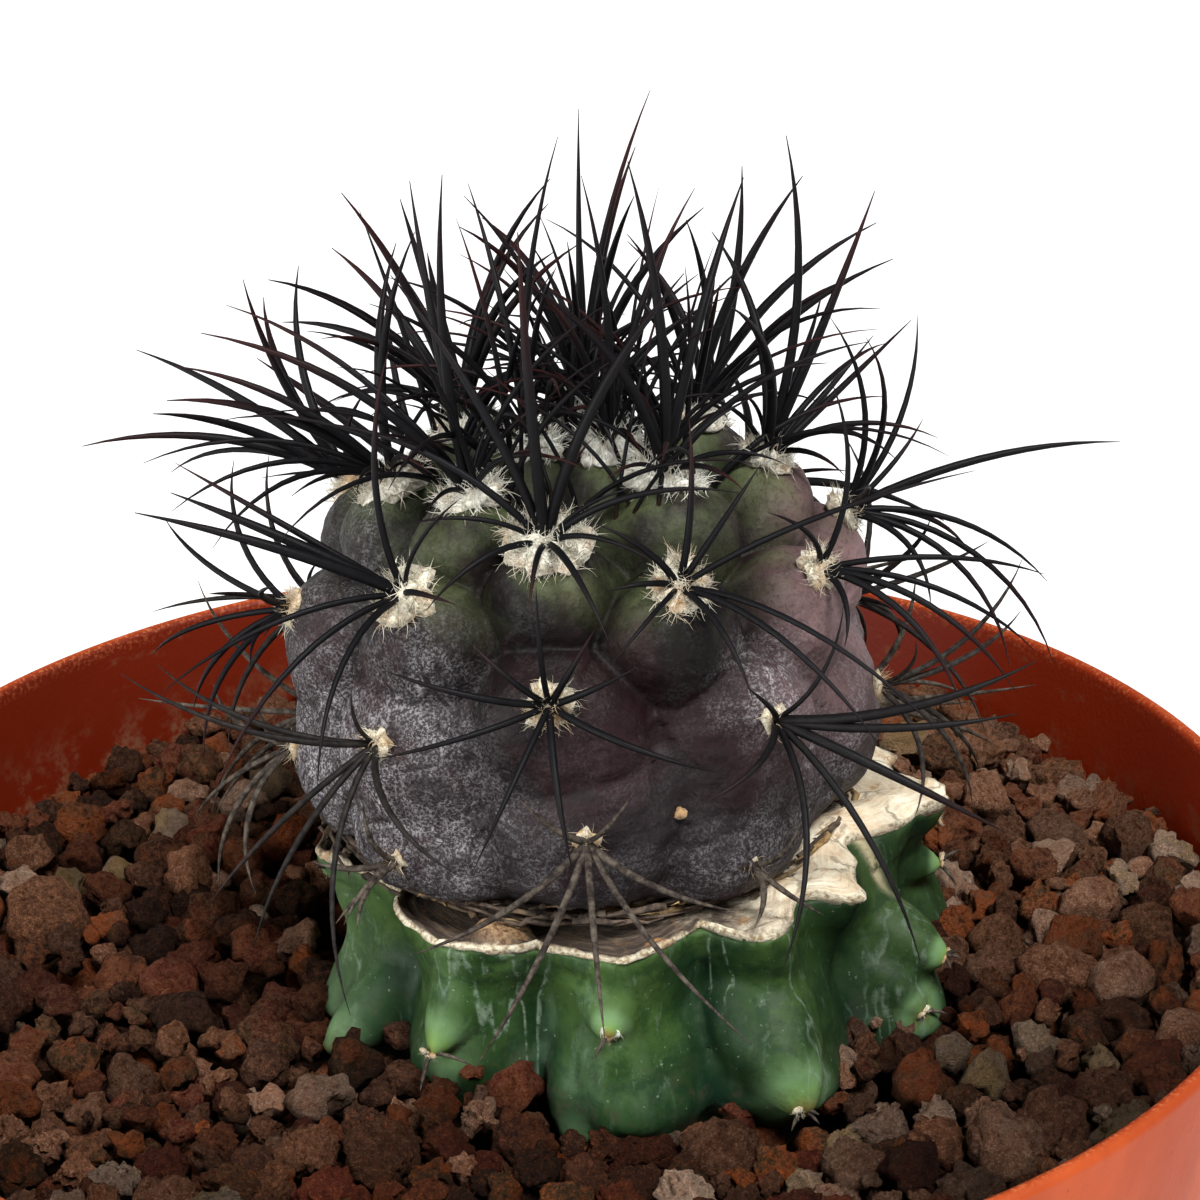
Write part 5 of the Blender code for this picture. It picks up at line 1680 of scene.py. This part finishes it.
# %% Colours of the stones
def lava_finish():
    """Porous lava from brown to rust and ochre, dark in its pits, with painted shade between stones and
    painted light at the back.
    """
    finish = Finish("lava_grit", roughness=0.95, specular_ior_level=0.08)
    tone, lit, shade = finish.kept("tone", "lit", "shade")
    back = finish.axis("Y")
    # Share of painted light, which grows towards the back.
    painted_light_at_back = back.between(-0.035, 0.040)
    east = finish.axis("X").between(0.012, 0.042)
    cloud = finish.grain(420, 5, 0.75)
    crumb = finish.grain(1500, 5, 0.9)
    salt = finish.grain(4300, 2, 0.8)
    patch = finish.grain(260, 5, 0.7)
    mixed = tone + (patch - 0.5) * 0.40 + (crumb - 0.5) * 0.20
    finish.colour = finish.ramp(mixed, (
        (0.00, (0.110, 0.042, 0.022)), (0.12, (0.060, 0.026, 0.016)), (0.22, (0.200, 0.055, 0.020)),
        (0.32, (0.150, 0.026, 0.014)), (0.42, (0.085, 0.050, 0.022)), (0.50, (0.400, 0.085, 0.016)),
        (0.58, (0.150, 0.062, 0.028)), (0.68, (0.300, 0.115, 0.055)), (0.80, (0.450, 0.215, 0.125)),
        (0.92, (0.500, 0.350, 0.250)), (1.00, (0.400, 0.250, 0.100))))
    # Paler crumbs towards the back and the right: painted light.
    finish.lay((0.520, 0.310, 0.190), painted_light_at_back * (0.5 + east * 0.6) * crumb.between(0.40, 0.62) * 0.42)
    pale = finish.mix((0.44, 0.135, 0.050), (0.92, 0.60, 0.42), tone.between(0.45, 0.95))
    grains = salt.between(0.48, 0.62) * crumb.between(0.46, 0.58)
    plain = 1 - tone.between(0.94, 0.97) * 0.8
    finish.lay(pale, grains * (0.50 + tone * 0.45) * plain)
    pits = crumb.between(0.36, 0.50) * 0.60 + salt.between(0.34, 0.48) * 0.15 + 0.25
    # Brightness of each point: dark pits, painted shade low on each stone, a random tone per stone, painted
    # light towards the back and at the back right, and painted shade at the front right and the back left.
    shown = pits * (0.26 + lit.between(0.1, 0.75) * 0.80) * (0.28 + shade * 1.05) * (0.70 + painted_light_at_back * 0.62)
    shown = shown * (1 + east * (painted_light_at_back - 0.50) * 1.2) * (1 - (1 - east) * painted_light_at_back * 0.28)
    # A band of painted light over the left part of the grit, from near the front to the middle.
    painted_light_strip = back.between(-0.034, -0.020) * (1 - back.between(-0.008, 0.006)) * (1 - east)
    finish.lay((0.330, 0.190, 0.120), painted_light_strip * crumb.between(0.40, 0.62) * 0.25)
    shown = shown * (1 + painted_light_strip * 0.36)
    finish.colour = finish.mix((0.006, 0.0026, 0.0016), finish.colour, shown.least(1.0))
    finish.paint()
    finish.bump(cloud * 0.4 + crumb + salt * 0.30, 1.0, 0.0022)
    return finish


lava_look = lava_finish()

# %% Place the stones
SHADE_SPREAD = 53.7
# Stones on the right are paler: where that starts, and the first number of the draw there and elsewhere.
PALER_FROM = 0.020
PALER = (2.4, 1.1)


def layer_points():
    """Discs for stones with fine, middling and coarse faces: place, size and tone."""
    draw = random.Random(17)
    fine, middling, coarse = [], [], []
    for number, (rise, count, radii) in enumerate(STONE_LAYERS):
        known = KNOWN_STONES if number == 0 else []
        blank = peg_discs() if number == 0 else []
        places, sizes = pack_stones(count, radii, known + blank, draw)
        for index, (place, size) in enumerate(zip(places, sizes)):
            if len(known) <= index < len(known) + len(blank):
                continue
            paler = PALER[0] if place[0] > PALER_FROM else PALER[1]
            tone = known[index][3] if index < len(known) else draw.betavariate(paler, 1.6)
            height = GRIT_LEVEL + rise + draw.uniform(-1, 1) * STONE_UNEVEN + place[0] * GRIT_TILT
            height -= hollow(place)
            row = (*place, height), size, tone
            near = place[1] < NEAR_EDGE
            if number or not near and size < SMALL_STONE:
                coarse.append(row)
            else:
                (fine if near and size > LARGE_STONE else middling).append(row)
    return fine, middling, coarse


def stones_piece(name, rows, subdivisions):
    """Copy lumps to one list of discs and keep how high each point lies on its stone."""
    places, sizes, tones = zip(*rows)
    mesh = bpy.data.meshes.new(name)
    mesh.from_pydata(places, [], [])
    store(mesh, size=sizes, tone=tones, middle=[place[2] for place in places],
          shade=[tone * SHADE_SPREAD % 1 for tone in tones])
    group = lump_collection(subdivisions)
    inputs = {"Lumps": group, "Seed": 3, "Material": lava_look.material}
    stones = grown_mesh(mesh, stone_tree(), inputs)
    for lump in list(group.objects):
        bpy.data.objects.remove(lump, do_unlink=True)
    bpy.data.collections.remove(group)
    height = mesh_points(stones)[:, 2]
    fields = {}
    for field in ("middle", "size"):
        fields[field] = np.empty(len(height), np.float32)
        stones.attributes[field].data.foreach_get("value", fields[field])
    store(stones, lit=np.clip(0.5 + (height - fields["middle"]) / fields["size"] / 1.5, 0, 1))
    new_piece(name, stones, None, "grit")


for name, rows, subdivisions in zip(("grit_near", "grit_far", "grit_low"), layer_points(), (4, 3, 2)):
    stones_piece(name, rows, subdivisions)

# %% Bed under the stones
BED_DROP = 0.0046
BED_CLEARANCE = 0.0003
BED_AROUND = 120


def bed_mesh():
    """Filling of the pot below the stones, with a hollow for the rootstock."""
    floor = BASE_CHANNEL_DEPTH + POT_FLOOR + BED_CLEARANCE
    top = GRIT_LEVEL - BED_DROP
    azimuths = directions(BED_AROUND)
    wall = pot_inner_radius(floor)
    profile = [(0.5 * POT_BASE_RADIUS, floor), (wall - 0.0026, floor), (wall - 0.0008, floor + 0.0016)]
    for height in np.linspace(floor + 0.01, top, 12):
        profile.append((pot_inner_radius(height) - 0.0006, height))
    rows = [on_ring(azimuths, radius, height, (0.0, 0.0)) for radius, height in profile]
    inner = on_ring(azimuths, stock_radius(azimuths, top) + BED_CLEARANCE, top)
    outer = rows[-1]
    for share in (0.15, 0.3, 0.45, 0.6, 0.75, 0.9, 1.0):
        rows.append(outer * (1 - share) + inner * share)
    for height in np.linspace(top, STOCK_FOOT - 0.0006, 8)[1:]:
        rows.append(on_ring(azimuths, stock_radius(azimuths, height) + BED_CLEARANCE, height))
    for row in rows:
        row[:, 2] = np.minimum(row[:, 2], top - hollow(row))
    bottom = (0.0, 0.0, floor)
    return grid_mesh("grit_bed", rows, (bottom, on_ring(0, 0, STOCK_FOOT - 0.0022)))


bed = bed_mesh()
even = np.ones(len(bed.vertices))
store(bed, tone=even * 0.2, lit=even * 0.1, shade=even * 0.1)
new_piece("grit_bed", bed, lava_look, "grit")

# %% [markdown]
# ## Floor
#
# A studio floor, almost white, so that the plant has the plain background of the photograph.

# %% Pale floor
FLOOR_SIZE = 6.0
floor_mesh = bpy.data.meshes.new("floor")
corners = [(x * FLOOR_SIZE / 2, y * FLOOR_SIZE / 2, 0) for x, y in ((-1, -1), (1, -1), (1, 1), (-1, 1))]
floor_mesh.from_pydata(corners, [], [(0, 1, 2, 3)])
floor = new_object("floor", floor_mesh)
floor_look = Finish("floor", roughness=0.9)
floor_look.set("Base Color", floor_look.mix((0.86, 0.86, 0.86), (0.89, 0.89, 0.89), floor_look.grain(3)))
floor_mesh.materials.append(floor_look.material)

# %% [markdown]
# ## Sizes
#
# The dressed plant must keep the size of the solid one. A helper gives a box as plain lists.

# %% Sizes
def plain(box):
    """A box as plain lists, which can be written to a file."""
    return [[float(value) for value in corner] for corner in box]
